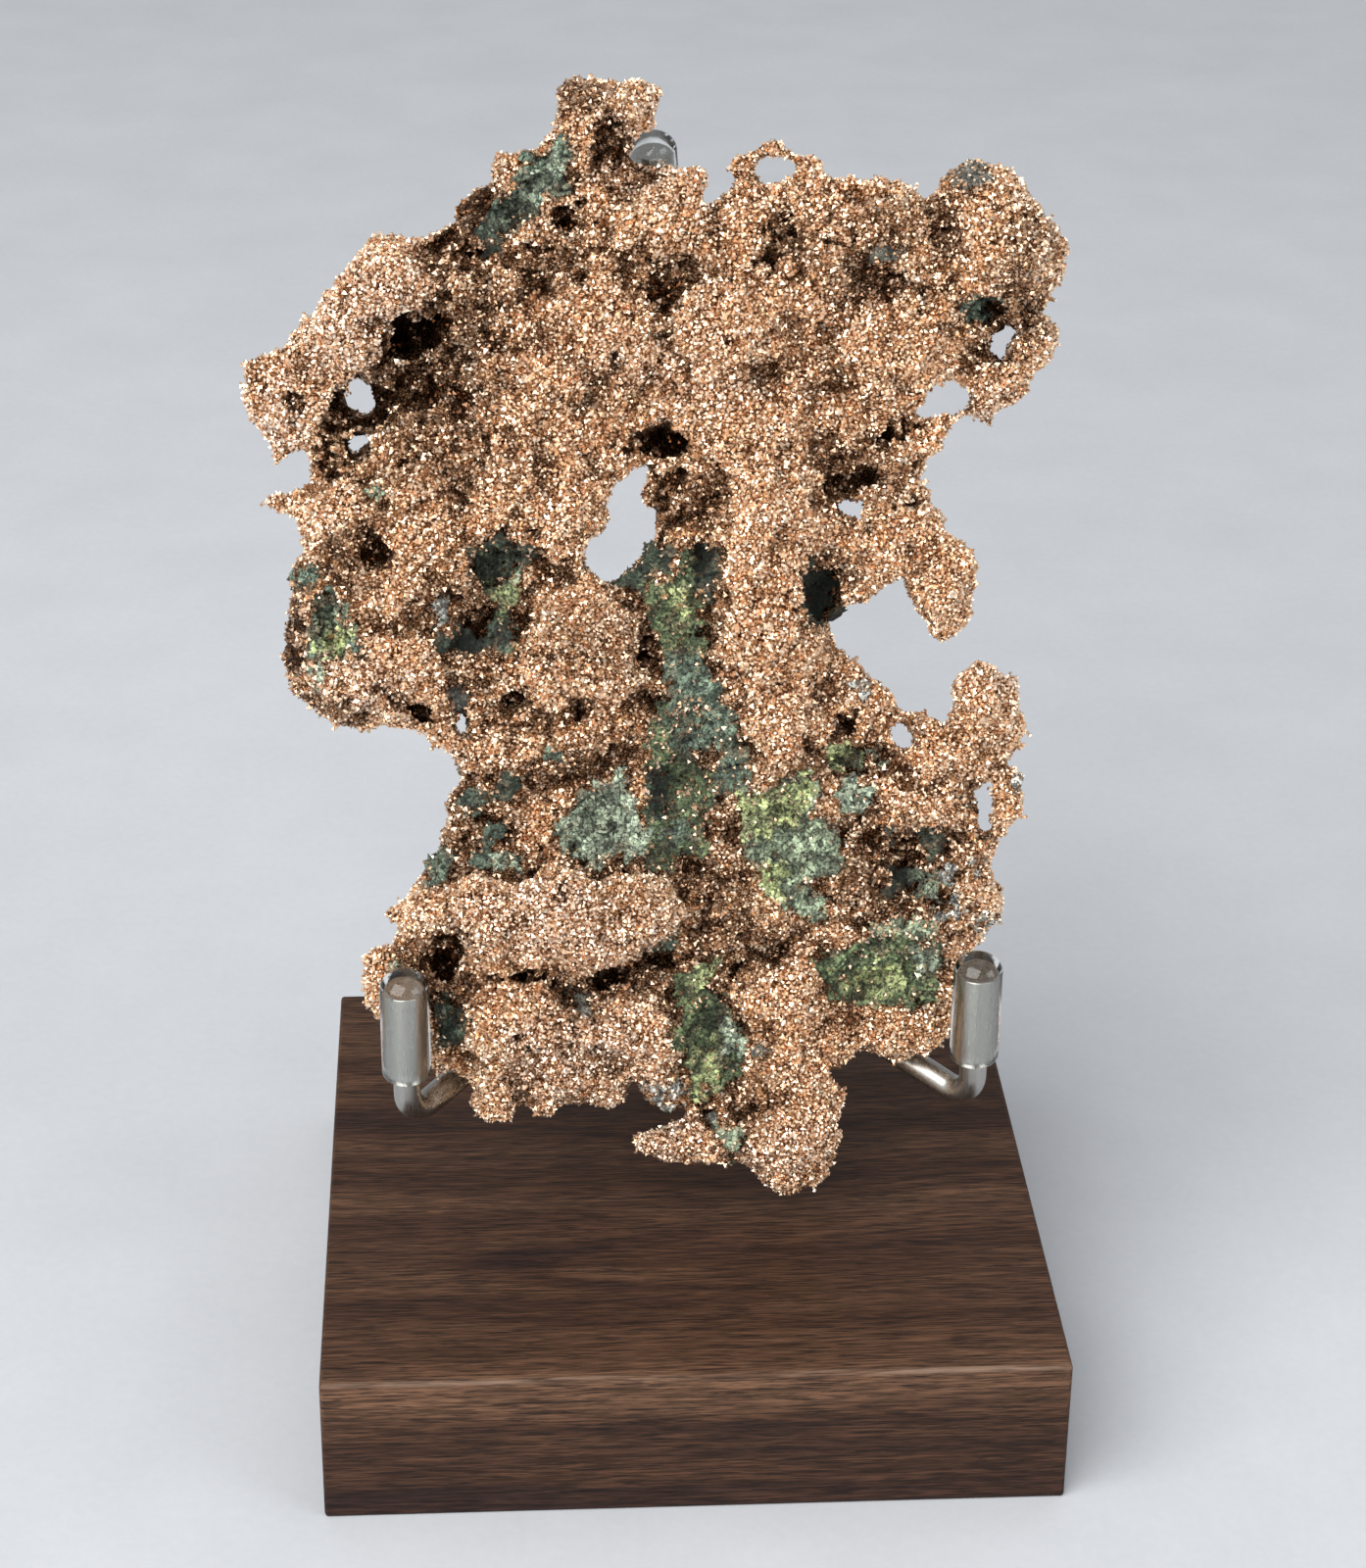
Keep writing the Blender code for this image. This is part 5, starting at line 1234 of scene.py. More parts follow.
PALE = (
    # Where the copper is pinkish and pale: the shelves, the arms and the low ball.
    Hollow(-17, 23, 20.0, 7.5, -4), Hollow(-14, 3, 14.0, 9.0, 10), Hollow(-42, 106, 15.0, 7.5, 48),
    Hollow(-54, 94, 5.0, 8.0), Hollow(-11, 66, 6.0, 5.0, 0, 0.2), Hollow(14, -11, 8.0, 6.5),
    Hollow(-42, 57, 8.0, 5.0, 0, 0.7), Hollow(44, 60, 6.0, 9.0, 0, 0.7),
    Hollow(-4, 128, 8.0, 8.0, 0, 0.6), Hollow(0, 98, 14.0, 6.0, -20, 0.6), Hollow(-1, -9, 8.0, 3.5),
    Hollow(40, 94, 8.0, 5.0, 0, 0.5),
)


@dataclass(frozen=True)
class ReadingPlane:
    """The nugget's leaning plane and the eye point that patches are read from."""

    seat: Vector = Vector((0.0, -10.8, 45.0))
    lean: float = math.radians(14.0)
    eye: Vector = Vector((-26.3, -435.7, 312.0))

    def read(self, points: np.ndarray) -> tuple[np.ndarray, np.ndarray, np.ndarray]:
        """Finds where points appear on the plane, and how far they stand out of it.

        Args:
            points: Places in metres, one a row.

        Returns:
            u to the right, v up and w towards the front, in millimetres.
        """
        spots = points / MM
        up = np.array((0.0, math.sin(self.lean), math.cos(self.lean)))
        out = np.array((0.0, -math.cos(self.lean), math.sin(self.lean)))
        seat, eye = np.array(self.seat), np.array(self.eye)
        height = (spots - seat) @ out
        eye_height = (eye - seat) @ out
        share = (eye_height / (eye_height - height))[:, None]
        seen = eye + (spots - eye) * share
        return seen[:, 0], (seen - seat) @ up, height

    def place(self, u: float, v: float) -> Vector:
        """Finds the point of the plane at (u, v), in millimetres."""
        return self.seat + Vector((u, v * math.sin(self.lean), v * math.cos(self.lean)))


class CrystalShape(Enum):
    """Small faceted bodies that the copper crystals are copies of: sides, storeys and stretch."""

    SPIKY = (4, 2, (1.0, 0.8, 1.25))
    SQUAT = (4, 2, (1.15, 1.0, 0.75))
    WEDGE = (3, 2, (0.9, 1.25, 0.9))
    CHIP = (4, 2, (0.85, 1.1, 1.0))

    def build(self) -> bpy.types.Object:
        """Makes one crystal of about 1 mm radius, with a map for its own tile.

        Returns:
            The helper object, hidden from view.
        """
        bm = bmesh.new()
        self.add(bm, Vector((0.0, 0.0, 0.0)), 1.0)
        return helper_from(bm, "crystal_" + self.name.lower())

    def add(self, bm: bmesh.types.BMesh, place: Vector, size: float) -> None:
        """Adds one crystal to a bmesh.

        Args:
            bm: The bmesh, in metres.
            place: The crystal's middle, in millimetres.
            size: Its radius, in millimetres.
        """
        around, up, stretch = self.value
        made = bmesh.ops.create_uvsphere(bm, u_segments=around, v_segments=up, radius=size * MM)["verts"]
        bmesh.ops.scale(bm, vec=stretch, verts=made)
        crook = 0.22 * size * MM
        for vert in made:
            vert.co += crook * noise.noise_vector(vert.co * 900.0 + Vector((around, up, size)))
        turn = Euler(place * 2.1).to_matrix()
        bmesh.ops.rotate(bm, cent=(0, 0, 0), matrix=turn, verts=made)
        bmesh.ops.translate(bm, vec=place * MM, verts=made)


class Sprig(Enum):
    """Crooked little branches of crystals, as places and sizes in millimetres."""

    HOOK = ((0.0, 0.0, 0.0, 0.62), (0.25, 0.1, 0.6, 0.52), (0.1, -0.2, 1.15, 0.46), (0.5, -0.35, 1.6, 0.38))
    FORK = ((0.0, 0.0, 0.0, 0.66), (-0.2, 0.2, 0.65, 0.55), (-0.65, 0.3, 1.1, 0.42), (0.4, 0.0, 1.1, 0.44))
    STUB = ((0.0, 0.0, 0.0, 0.7), (0.35, 0.35, 0.5, 0.55), (-0.4, 0.1, 0.55, 0.5), (0.0, -0.3, 1.0, 0.48))

    def build(self) -> bpy.types.Object:
        """Makes the branch.

        Returns:
            The helper object, hidden from view.
        """
        bm = bmesh.new()
        kinds = (CrystalShape.SQUAT, CrystalShape.SPIKY, CrystalShape.WEDGE, CrystalShape.SPIKY)
        for kind, (x, y, z, size) in zip(kinds, self.value):
            kind.add(bm, Vector((x, y, z)), size)
        return helper_from(bm, "sprig_" + self.name.lower())


def helper_from(bm: bmesh.types.BMesh, name: str) -> bpy.types.Object:
    """Makes a small body that is copied over the skin, each of its faces on one tile.

    Args:
        bm: The shape, in metres.
        name: The helper's name.

    Returns:
        The helper object, hidden from view.
    """
    bmesh.ops.triangulate(bm, faces=bm.faces)
    tile = bm.loops.layers.uv.new("OFBake")
    for face in bm.faces:
        for loop, corner in zip(face.loops, ((0.2, 0.2), (0.8, 0.2), (0.5, 0.8))):
            loop[tile].uv = corner
    shape = object_from(bm, name)
    shape.hide_render = True
    return shape


@dataclass(frozen=True)
class Scatter:
    """One sowing of small bodies over the skin, with spacing and rise in millimetres.

    Small and large are shares of the bodies' own size, and where names the attribute
    that says how thickly they stand. Of every share points, the sowing takes one, so
    that sowings with the same seed and other turns fill the points between them.
    """

    name: str
    spacing: float
    small: float
    large: float
    where: str
    seed: int
    share: int = 1
    turn: int = 0
    rise: float = 0.1
    upright: bool = False

    def build(self, skin: bpy.types.Object, shapes: list[bpy.types.Object]) -> bpy.types.Object:
        """Sows the bodies with geometry nodes and turns them into one mesh.

        Args:
            skin: The surface that they sit on.
            shapes: The bodies to pick from.

        Returns:
            The joined mesh.
        """
        tree = bpy.data.node_groups.new(self.name, "GeometryNodeTree")
        tree.interface.new_socket("Geometry", in_out="INPUT", socket_type="NodeSocketGeometry")
        tree.interface.new_socket("Geometry", in_out="OUTPUT", socket_type="NodeSocketGeometry")
        wiring = Wiring(tree)
        given = wiring.add("NodeGroupInput")
        density = wiring.add(
            "GeometryNodeInputNamedAttribute", {"data_type": "FLOAT"}, Name=self.where
        ).outputs["Attribute"]
        sown = wiring.add(
            "GeometryNodeDistributePointsOnFaces", {"distribute_method": "POISSON"},
            Mesh=given.outputs[0], Distance_Min=self.spacing * MM, Seed=self.seed,
        )
        sown.inputs["Density Max"].default_value = 3.0 / (self.spacing * MM) ** 2
        wiring.feed(sown.inputs["Density Factor"], density)
        raised = wiring.add("ShaderNodeVectorMath", {"operation": "SCALE"}, i0=sown.outputs["Normal"])
        raised.inputs["Scale"].default_value = self.rise * MM
        lifted = wiring.add(
            "GeometryNodeSetPosition", None, Geometry=sown.outputs["Points"], Offset=raised.outputs[0]
        )
        index = wiring.add("GeometryNodeInputIndex").outputs[0]
        picked = wiring.math("FLOORED_MODULO", index, float(self.share))
        mine = wiring.add(
            "FunctionNodeCompare", {"data_type": "FLOAT", "operation": "EQUAL"},
            i0=picked, i1=float(self.turn),
        )
        choices = wiring.add("GeometryNodeJoinGeometry")
        for shape in shapes:
            info = wiring.add("GeometryNodeObjectInfo", None, Object=shape, As_Instance=True)
            wiring.tree.links.new(info.outputs["Geometry"], choices.inputs[0])
        size = wiring.add("FunctionNodeRandomValue", {"data_type": "FLOAT_VECTOR"}, Seed=self.seed + 2)
        size.inputs[0].default_value = (self.small,) * 3
        size.inputs[1].default_value = (self.large,) * 3
        placed = wiring.add(
            "GeometryNodeInstanceOnPoints", None, Points=lifted.outputs[0], Selection=mine.outputs[0],
            Instance=choices.outputs[0], Pick_Instance=True, Rotation=self._turned(wiring, sown),
            Scale=size.outputs[0],
        )
        chance = wiring.add("FunctionNodeRandomValue", {"data_type": "FLOAT"}, Seed=self.seed + 3)
        marked = self._store(wiring, placed.outputs[0], "chance", "FLOAT", "INSTANCE", chance.outputs[1])
        order = wiring.add("GeometryNodeInputIndex").outputs[0]
        counted = self._store(wiring, marked, "tile", "FLOAT", "INSTANCE", order)
        solid = wiring.add("GeometryNodeRealizeInstances", None, Geometry=counted).outputs[0]
        mapped = self._store(wiring, solid, "OFBake", "FLOAT2", "CORNER", self._tile(wiring))
        result = wiring.add("NodeGroupOutput")
        wiring.feed(result.inputs[0], mapped)

        piece = object_from(bmesh.new(), self.name)
        piece.data = skin.data
        modifier = piece.modifiers.new("sow", "NODES")
        modifier.node_group = tree
        apply_modifiers(piece)
        keep_in_box(piece)
        return piece

    def _turned(self, wiring: Wiring, sown: bpy.types.Node) -> object:
        """Turns the bodies every way, or leans them a little out of upright.

        Args:
            wiring: The geometry tree's wiring.
            sown: The node that sows the points.

        Returns:
            Socket of the turns.
        """
        reach = 0.7 if self.upright else math.tau
        spin = wiring.add("FunctionNodeRandomValue", {"data_type": "FLOAT_VECTOR"}, Seed=self.seed + 1)
        spin.inputs[0].default_value = (-reach, -reach, -math.tau)
        spin.inputs[1].default_value = (reach, reach, math.tau)
        turn = wiring.add("FunctionNodeEulerToRotation", None, i0=spin.outputs[0]).outputs[0]
        if not self.upright:
            return turn
        return wiring.add(
            "FunctionNodeRotateRotation", {"rotation_space": "LOCAL"}, i0=sown.outputs["Rotation"], i1=turn
        ).outputs[0]

    @staticmethod
    def _store(
        wiring: Wiring, geometry: object, name: str, kind: str, domain: str, value: object
    ) -> object:
        """Stores a named attribute.

        Args:
            wiring: The geometry tree's wiring.
            geometry: Socket of what it is stored on.
            name: The attribute's name.
            kind: Blender's data type.
            domain: Blender's domain.
            value: Socket of its value.

        Returns:
            The geometry socket that follows.
        """
        node = wiring.add(
            "GeometryNodeStoreNamedAttribute", {"data_type": kind, "domain": domain},
            Geometry=geometry, Name=name,
        )
        wiring.feed(node.inputs["Value"], value)
        return node.outputs[0]

    @staticmethod
    def _tile(wiring: Wiring) -> object:
        """Gives each body its own tile of the baked map.

        Args:
            wiring: The geometry tree's wiring.

        Returns:
            Socket of the map's coordinates.
        """
        across = 160.0
        tile = wiring.add("GeometryNodeInputNamedAttribute", {"data_type": "FLOAT"}, Name="tile")
        inner = wiring.add(
            "GeometryNodeInputNamedAttribute", {"data_type": "FLOAT_VECTOR"}, Name="OFBake"
        )
        row = wiring.math("FLOOR", wiring.math("DIVIDE", tile.outputs[0], across))
        column = wiring.math("FLOORED_MODULO", tile.outputs[0], across)
        corner = wiring.add("ShaderNodeCombineXYZ", None, X=column, Y=row)
        moved = wiring.add(
            "ShaderNodeVectorMath", {"operation": "ADD"}, i0=corner.outputs[0], i1=inner.outputs[0]
        )
        scaled = wiring.add("ShaderNodeVectorMath", {"operation": "SCALE"}, i0=moved.outputs[0])
        scaled.inputs["Scale"].default_value = 1.0 / across
        return scaled.outputs[0]


@dataclass
class CopperNugget:
    """The nugget: its skin, its copper crystals and its crumbs of rock. Lengths in millimetres.

    Voxel is the skin's grid, and cluster, knob and swell are the sizes of its lumps.
    Broad, middle and fine are the sizes of the noise that makes outlines and tones
    uneven, and back is that of the rock on the nugget's back. A gap is seen through
    from the front: its u and v, half sizes and turn in degrees.
    """

    voxel: float = 0.74
    cluster: float = 4.4
    knob: float = 1.9
    swell: float = 7.5
    broad: float = 3.1
    middle: float = 1.7
    fine: float = 0.9
    back: float = 13.0
    near_rounds: int = 8
    far_rounds: int = 48
    gaps: tuple[tuple[float, float, float, float, float], ...] = (
        (-43.3, 96.3, 1.35, 2.0, 10.0), (-43.6, 90.1, 1.4, 1.7, 20.0), (23.7, 80.1, 1.8, 2.8, 0.0),
        (39.7, 51.2, 1.1, 1.1, 0.0), (30.9, 47.8, 1.8, 1.5, 20.0), (42.0, 38.6, 1.8, 5.0, -10.0),
        (-30.3, 50.6, 1.4, 1.9, 0.0), (44.2, 103.8, 1.4, 1.2, 30.0), (13.6, 126.0, 2.6, 1.1, 0.0),
    )
    fleck: np.ndarray = field(default_factory=lambda: np.array((0.150, 0.105, 0.065)))
    plane: ReadingPlane = field(default_factory=ReadingPlane)
    skin_finish: SkinFinish = field(default_factory=SkinFinish)

    def build(self) -> None:
        """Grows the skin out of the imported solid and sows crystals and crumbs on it."""
        skin = self._skin()
        marks = self._marks(skin)
        self._roughen(skin, marks)
        self._store(skin, marks)
        crystals = [shape.build() for shape in CrystalShape]
        sprigs = [sprig.build() for sprig in Sprig]
        sowings = (
            (Scatter("bright_crystals", 0.48, 0.22, 0.42, "bare", 11, 3, 0), crystals,
             CrystalFinish("bright copper", 0.27)),
            (Scatter("satin_crystals", 0.48, 0.24, 0.44, "bare", 11, 3, 1), crystals,
             CrystalFinish("satin copper", 0.37)),
            (Scatter("soft_crystals", 0.48, 0.24, 0.42, "bare", 11, 3, 2), crystals,
             CrystalFinish("soft copper", 0.48)),
            (Scatter("large_crystals", 1.30, 0.40, 0.66, "bare", 57, rise=0.0), crystals[1::2],
             CrystalFinish("large copper", 0.33)),
            (Scatter("copper_sprigs", 2.2, 0.55, 0.95, "peaks", 23, rise=-0.30, upright=True), sprigs,
             CrystalFinish("sprig copper", 0.30)),
            (Scatter("rock_crumbs", 0.66, 0.22, 0.60, "rocky", 41, rise=0.0), crystals, CrumbFinish()),
        )
        for scatter, shapes, finish in sowings:
            dress(scatter.build(skin, shapes), finish.material())
        for shape in (*crystals, *sprigs):
            bpy.data.objects.remove(shape, do_unlink=True)
        dress(skin, self.skin_finish.material())
        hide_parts("copper_nugget")

    def _pierce(self, skin: bpy.types.Object) -> None:
        """Cuts the small gaps that are seen through from the front.

        Args:
            skin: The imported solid's copy, before it is refined.
        """
        bm = bmesh.new()
        for u, v, wide, high, turn in self.gaps:
            spot = self.plane.place(u, v)
            way = (spot - self.plane.eye).to_track_quat("Z", "Y").to_matrix()
            made = bmesh.ops.create_cone(
                bm, cap_ends=True, segments=10, radius1=1.0, radius2=1.0, depth=40.0
            )["verts"]
            for vert in made:
                spin = Vector((vert.co.x * 1.9 + u, vert.co.y * 1.9 + v, 0.0))
                vert.co.xy *= 0.95 + 0.9 * noise.noise(spin)
            bmesh.ops.scale(bm, vec=(wide, high, 1.0), verts=made)
            turned = way @ Matrix.Rotation(math.radians(turn), 3, "Z")
            bmesh.ops.rotate(bm, cent=(0, 0, 0), matrix=turned, verts=made)
            bmesh.ops.translate(bm, vec=spot, verts=made)
        bmesh.ops.scale(bm, vec=(MM, MM, MM), verts=bm.verts)
        cutter = object_from(bm, "gap_cutter")
        cut = skin.modifiers.new("gaps", "BOOLEAN")
        cut.operation = "DIFFERENCE"
        cut.solver = "EXACT"
        cut.object = cutter
        apply_modifiers(skin)
        bpy.data.objects.remove(cutter, do_unlink=True)

    def _skin(self) -> bpy.types.Object:
        """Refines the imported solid.

        Returns:
            The skin, still smooth.
        """
        bm = bmesh.new()
        bm.from_mesh(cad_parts["copper_nugget"].data)
        bmesh.ops.remove_doubles(bm, verts=bm.verts, dist=0.001 * MM)
        skin = object_from(bm, "nugget_skin")
        self._pierce(skin)
        melt = skin.modifiers.new("melt", "REMESH")
        melt.mode = "VOXEL"
        melt.voxel_size = self.voxel * MM
        soften = skin.modifiers.new("soften", "SMOOTH")
        soften.factor = 0.5
        soften.iterations = 4
        apply_modifiers(skin)
        skin.data.shade_smooth()
        LOG.info("skin has %d faces", len(skin.data.polygons))
        return skin

    @staticmethod
    def _rows(skin: bpy.types.Object, what: str) -> np.ndarray:
        """Reads the skin's points or point normals.

        Args:
            skin: The skin.
            what: "points" or "normals".

        Returns:
            One row a point.
        """
        values = np.empty(len(skin.data.vertices) * 3)
        if what == "points":
            skin.data.vertices.foreach_get("co", values)
        else:
            skin.data.vertex_normals.foreach_get("vector", values)
        return values.reshape(-1, 3)

    def _marks(self, skin: bpy.types.Object) -> dict[str, np.ndarray]:
        """Finds where rock, hollows, stains and painted shade lie on the skin.

        Args:
            skin: The skin.

        Returns:
            Named values, one a point: stone, copper, colour, dark, deep, pale, wobble and lumps.
        """
        points = self._rows(skin, "points")
        u, v, w = self.plane.read(points)
        spots = [Vector(point) / MM for point in points]
        broad, fine, mid = (
            np.array([noise.noise_vector(spot / size) for spot in spots])
            for size in (self.broad, self.fine, self.middle)
        )
        u = u + 1.0 * broad[:, 0] + 0.45 * fine[:, 0]
        v = v + 1.0 * broad[:, 1] + 0.45 * fine[:, 1]
        front = w > -4.0
        stone, copper = np.full(len(u), -3.0), np.zeros(len(u))
        colour = np.zeros((len(u), 3))
        rough_edge = 1.5 * mid[:, 2] + 0.9 * fine[:, 2]
        for patch in ROCK:
            depth = patch.depth(u, v)
            depth = np.where(depth > -1.5, depth + rough_edge, depth)
            colour[depth > -0.4] = patch.stone.value
            copper[depth > -0.4] = patch.copper
            stone = np.maximum(stone, depth)
        dark, deep = np.zeros(len(u)), np.zeros(len(u))
        ragged = 1.1 * fine[:, 2] + 0.6 * broad[:, 2]
        # Painted shade of the hollows, and the broad stains.
        for hollow in HOLLOWS:
            share = hollow.share(u + 2.2 * mid[:, 1], v + 2.2 * mid[:, 0])
            dark = np.maximum(dark, np.clip(share + ragged, 0.0, 1.0) * hollow.strength * (share > -1.0))
            deep = np.maximum(deep, np.clip(share + ragged, 0.0, 1.0) * hollow.deep)
        pale = np.zeros(len(u))
        for place in PALE:
            pale = np.maximum(pale, np.clip(place.share(u, v), 0.0, 1.0) * place.strength)
        # Painted shade along the edges of the rock patches.
        rim = np.clip(1.0 - np.abs(stone + 0.2) / 0.8, 0.0, 1.0) * (0.45 + 0.9 * mid[:, 0])
        dark = np.maximum(dark, np.clip(rim, 0.0, 0.8))
        brown = np.clip(1.6 * mid[:, 1] + 0.8 * fine[:, 1] - 0.12, 0.0, 0.75)[:, None]
        colour = colour * (1.0 + 0.5 * broad[:, 2:] + 0.5 * mid[:, :1]) * (1.0 - brown) + self.fleck * brown
        behind = np.array([noise.noise(spot / self.back) for spot in spots]) + 0.25 * broad[:, 2]
        stones = (Stone.DARK_GREEN, Stone.MOSS, Stone.TEAL, Stone.GREY_GREEN)
        kinds = np.array([stone_kind.value for stone_kind in stones])
        kind = np.clip(np.floor(2.0 + 5.0 * (broad[:, 0] + 0.6 * broad[:, 1])), 0, 3).astype(int)
        stone = np.where(front, stone, (behind - 0.24) * 9.0)
        colour = np.where(front[:, None], colour, kinds[kind])
        copper = np.where(front, copper, 0.3)
        dark = np.where(front, dark, np.clip(-3.0 * behind - 0.9, 0.0, 0.6))
        deep = np.where(front & (w > -1.0), deep, 0.0)
        return {
            "stone": np.clip(0.5 + stone / 1.1, 0.0, 1.0), "copper": copper, "colour": colour,
            "dark": dark, "deep": deep, "pale": pale, "wobble": fine[:, 2], "lumps": mid[:, 2],
        }

    def _roughen(self, skin: bpy.types.Object, marks: dict[str, np.ndarray]) -> None:
        """Raises clusters and knobs, sinks rock and hollows, and measures how sheltered points lie.

        Args:
            skin: The skin, whose points are moved.
            marks: What _marks found, which gains shelter.
        """
        points, normals = self._rows(skin, "points"), self._rows(skin, "normals")
        height = np.empty(len(points))
        for index, point in enumerate(points):
            spot = Vector(point) / MM
            bent = spot + 0.9 * noise.noise_vector(spot / 2.6)
            cluster = noise.voronoi(bent / self.cluster)[0][0]
            knob = noise.voronoi(bent / self.knob)[0][0]
            swell = noise.noise(spot / self.swell)
            height[index] = 0.85 - 1.8 * cluster**1.4 - 1.1 * knob + 1.2 * swell
        rocky = marks["stone"] * (1.0 - marks["copper"])
        crumbly = 1.3 * marks["wobble"] + 1.1 * marks["lumps"] - 0.3
        height = height * (1.0 - 0.45 * rocky) + crumbly * rocky - marks["deep"]
        moved = points + normals * height[:, None] * MM
        skin.data.vertices.foreach_set("co", moved.ravel())
        skin.data.update()
        keep_in_box(skin)
        marks["shelter"] = self._shelter(skin)

    def _shelter(self, skin: bpy.types.Object) -> np.ndarray:
        """Says how far each point lies in a hollow.

        Args:
            skin: The skin.

        Returns:
            Millimetres below the smoothed skin, negative on peaks.
        """
        points, normals = self._rows(skin, "points"), self._rows(skin, "normals")
        pairs = np.empty(len(skin.data.edges) * 2, dtype=np.int64)
        skin.data.edges.foreach_get("vertices", pairs)
        first, second = pairs.reshape(-1, 2).T
        count = np.bincount(first, minlength=len(points)) + np.bincount(second, minlength=len(points))
        smooth, depths = points.copy(), []
        for step in range(1, self.far_rounds + 1):
            total = np.column_stack([
                np.bincount(first, smooth[second, axis], len(points))
                + np.bincount(second, smooth[first, axis], len(points))
                for axis in range(3)
            ])
            smooth = 0.4 * smooth + 0.6 * total / np.maximum(count, 1)[:, None]
            if step in (self.near_rounds, self.far_rounds):
                depths.append(((smooth - points) * normals).sum(axis=1) / MM)
        return 0.95 * depths[0] + 0.45 * depths[1]

    @staticmethod
    def _store(skin: bpy.types.Object, marks: dict[str, np.ndarray]) -> None:
        """Stores the values that the materials and the sowing read on the skin's points.

        Args:
            skin: The skin.
            marks: What _marks and _roughen found.
        """
        stone, dark, shelter = marks["stone"], marks["dark"], marks["shelter"]
        sunk = np.clip(0.9 * shelter + 0.12, 0.0, 1.0)
        # Painted shade and tarnish: darker where the skin is sunk below its smoothed self and inside the
        # dark ovals, with a little random tone.
        tarnish = np.clip(0.70 * sunk + 0.95 * dark + 0.12 * marks["wobble"], 0.0, 1.0)
        bare = (1.0 - stone * (1.0 - marks["copper"])) * (1.0 - 0.45 * sunk) * (1.0 - 0.55 * dark)
        values = {
            "stone": stone,
            "tarnish": tarnish,
            "pale": marks["pale"],
            "bare": bare,
            "peaks": np.clip(1.2 - 3.0 * stone, 0.0, 1.0) * np.clip(0.3 - 1.2 * shelter, 0.0, 1.0)
            * (1.0 - dark) * (1.0 - 0.75 * marks["pale"]),
            "rocky": np.clip(1.4 * stone - 0.4, 0.0, 1.0) * (1.0 - 0.8 * dark),
        }
        for name, numbers in values.items():
            attribute = skin.data.attributes.new(name, "FLOAT", "POINT")
            attribute.data.foreach_set("value", np.ascontiguousarray(numbers, dtype=np.float32))
        tint = skin.data.attributes.new("stone_colour", "FLOAT_COLOR", "POINT")
        # Painted shade: the rock is darker where sunk and in the dark ovals.
        shaded = marks["colour"] * (1.0 - 0.75 * np.clip(0.8 * sunk + dark, 0.0, 1.0))[:, None]
        rows = np.column_stack((shaded, np.ones(len(stone))))
        tint.data.foreach_set("color", np.ascontiguousarray(rows, dtype=np.float32).ravel())


# --------------------------------------------------------------------------
# Studio
# --------------------------------------------------------------------------


@dataclass(frozen=True)
class SoftLight:
    """A square soft light that points at the object. Lengths in metres, power in watts."""

    name: str
    place: tuple[float, float, float]
    size: float
    power: float
    colour: Colour = (1.0, 1.0, 1.0)

    def build(self, target: Vector) -> None:
        """Hangs the light.

        Args:
            target: The point that it faces.
        """
        data = bpy.data.lights.new(self.name, "AREA")
        data.shape = "SQUARE"
        data.size = self.size
        data.energy = self.power
        data.color = self.colour
        lamp = bpy.data.objects.new(self.name, data)
        lamp.location = self.place
        lamp.rotation_euler = (target - Vector(self.place)).to_track_quat("-Z", "Y").to_euler()
        bpy.context.scene.collection.objects.link(lamp)


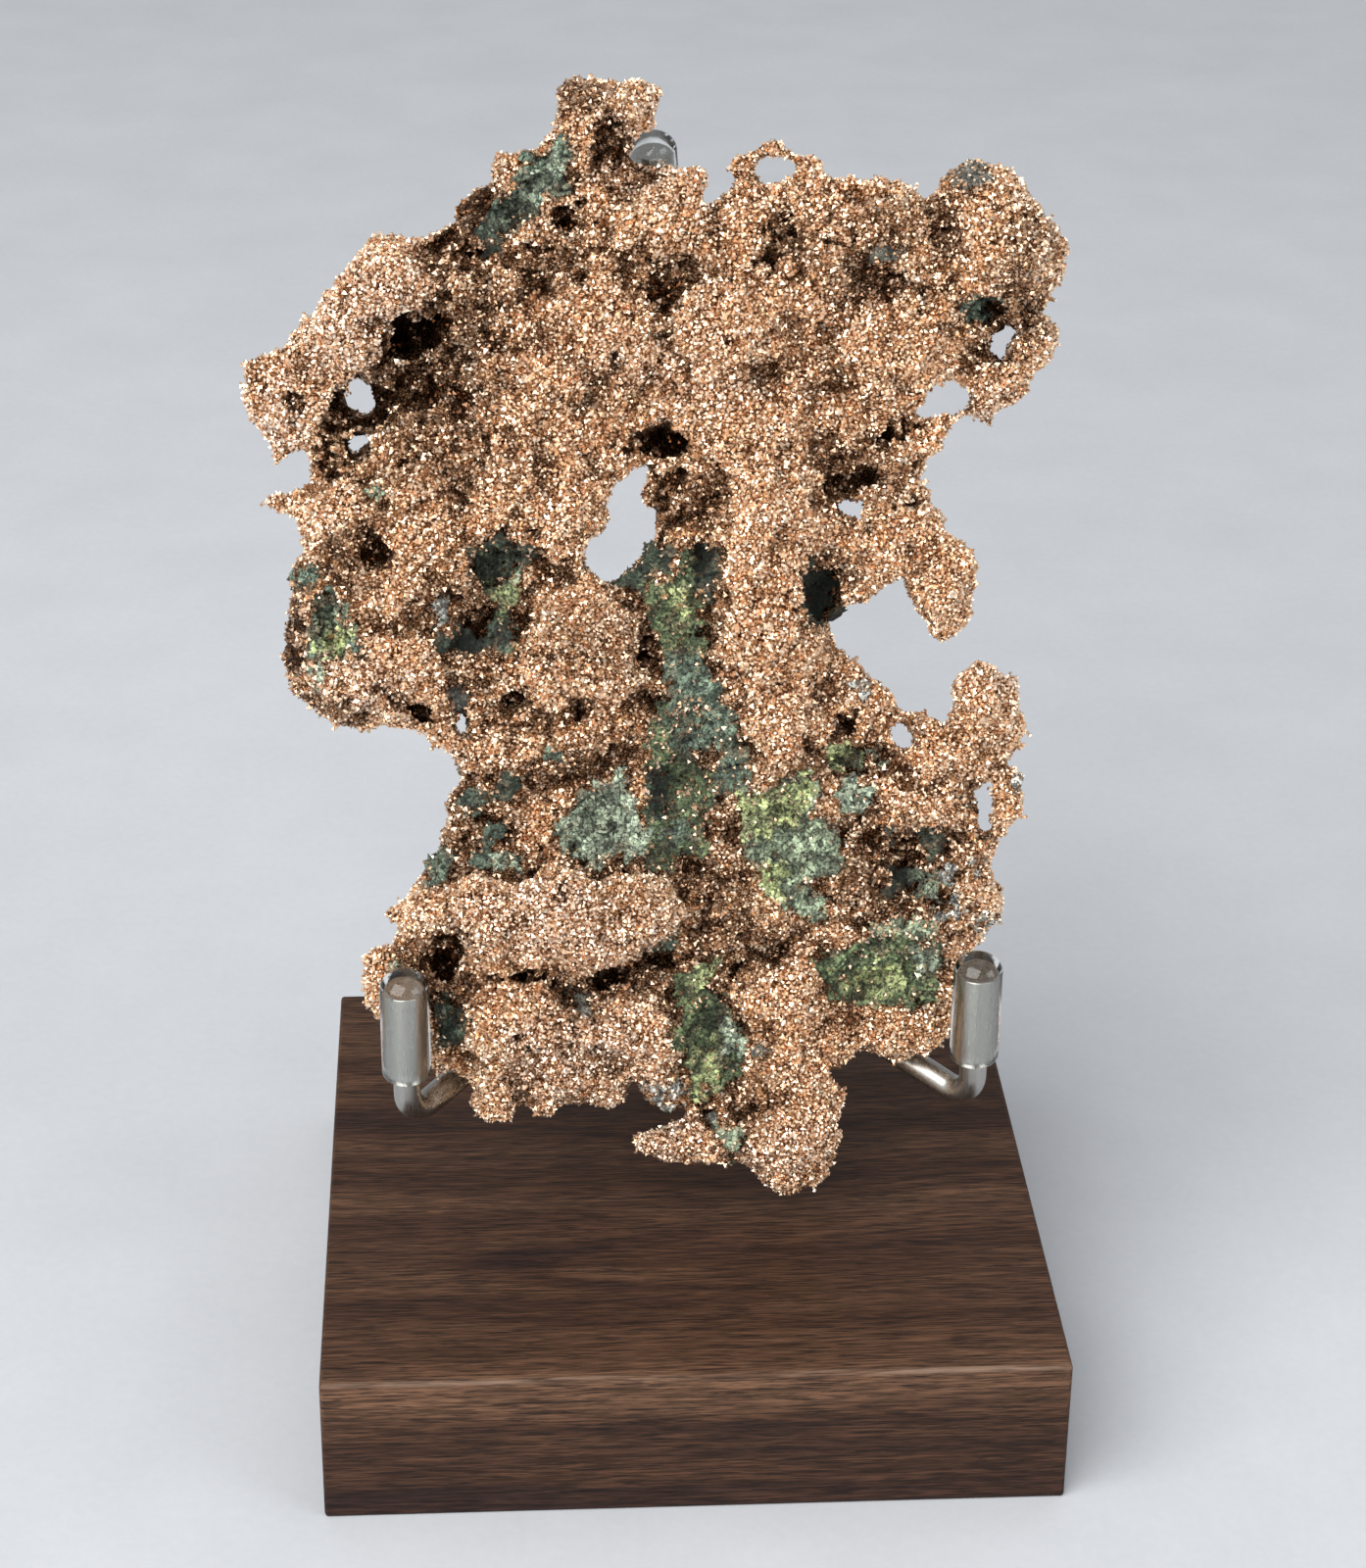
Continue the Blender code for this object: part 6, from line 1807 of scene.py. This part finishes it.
@dataclass
class Studio:
    """Camera, soft lights, pale surroundings and a pale floor. Lengths in metres."""

    eye: Vector = field(default_factory=lambda: Vector((-0.02633, -0.43568, 0.31198)))
    yaw: float = math.radians(3.48)
    pitch: float = math.radians(27.43)
    roll: float = math.radians(0.62)
    lens: float = 81.36
    sky: Colour = (0.93, 0.96, 1.0)
    sky_strength: float = 0.42
    target: Vector = field(default_factory=lambda: Vector((0.0, 0.0, 0.09)))
    lights: tuple[SoftLight, ...] = (
        SoftLight("key", (-0.85, -1.05, 1.12), 1.90, 53.0, (1.0, 0.99, 0.97)),
        SoftLight("fill", (1.05, -0.75, 0.60), 0.80, 6.0),
        SoftLight("top", (0.1, 0.30, 1.50), 0.8, 2.0),
    )

    def build(self) -> None:
        """Sets up everything round the object."""
        self._camera()
        self._sky()
        self._floor()
        for light in self.lights:
            light.build(self.target)
        settings = bpy.context.scene.view_settings
        settings.view_transform = "Standard"
        settings.look = "None"

    def _camera(self) -> None:
        """Places the camera."""
        data = bpy.data.cameras.new("camera")
        data.sensor_fit = "VERTICAL"
        data.sensor_height = 36.0
        data.lens = self.lens
        data.clip_start = 0.01
        data.clip_end = 20.0
        ahead = Vector((
            math.sin(self.yaw) * math.cos(self.pitch),
            math.cos(self.yaw) * math.cos(self.pitch),
            -math.sin(self.pitch),
        ))
        right = Vector((math.cos(self.yaw), -math.sin(self.yaw), 0.0))
        above = right.cross(ahead)
        across = right * math.cos(self.roll) + above * math.sin(self.roll)
        upward = above * math.cos(self.roll) - right * math.sin(self.roll)
        turn = Matrix((across, upward, -ahead)).transposed().to_4x4()
        camera = bpy.data.objects.new("camera", data)
        camera.matrix_world = Matrix.Translation(self.eye) @ turn
        bpy.context.scene.collection.objects.link(camera)
        bpy.context.scene.camera = camera

    def _sky(self) -> None:
        """Gives the surroundings an even pale light."""
        world = bpy.data.worlds.new("studio")
        world.use_nodes = True
        background = world.node_tree.nodes["Background"]
        background.inputs["Color"].default_value = (*self.sky, 1.0)
        background.inputs["Strength"].default_value = self.sky_strength
        bpy.context.scene.world = world

    def _floor(self) -> None:
        """Lays a wide pale floor of plaster with a faint unevenness."""
        bm = bmesh.new()
        bmesh.ops.create_grid(bm, x_segments=1, y_segments=1, size=3.0)
        floor = object_from(bm, "floor")
        material, wiring, shader = new_material("pale plaster")
        place = wiring.add("ShaderNodeTexCoord").outputs["Object"]
        tone = add_mottle(wiring, place, 30.0, 600.0)
        colour = wiring.mix(
            wiring.between(tone.outputs["Height"], 0.5, 1.1), (0.495, 0.512, 0.540), (0.550, 0.567, 0.595)
        )
        wiring.feed(shader.inputs["Base Color"], colour)
        shader.inputs["Roughness"].default_value = 0.7
        floor.data.materials.append(material)


def main() -> None:
    """Builds the studio, the stand and the nugget in order."""
    logging.basicConfig(level=logging.INFO, format="%(message)s")
    noise.seed_set(NOISE_SEED)
    Studio().build()
    WalnutBase().build()
    steel = SteelFrame()
    steel.build()
    vinyl = VinylFinish().material()
    for name, (end, way) in zip(("left_arm", "right_arm", "post"), steel.ends()):
        ClearCap(name + "_clear_cap", name + "_cap", end, way).build(vinyl)
    CopperNugget().build()


if __name__ == "__main__":
    main()
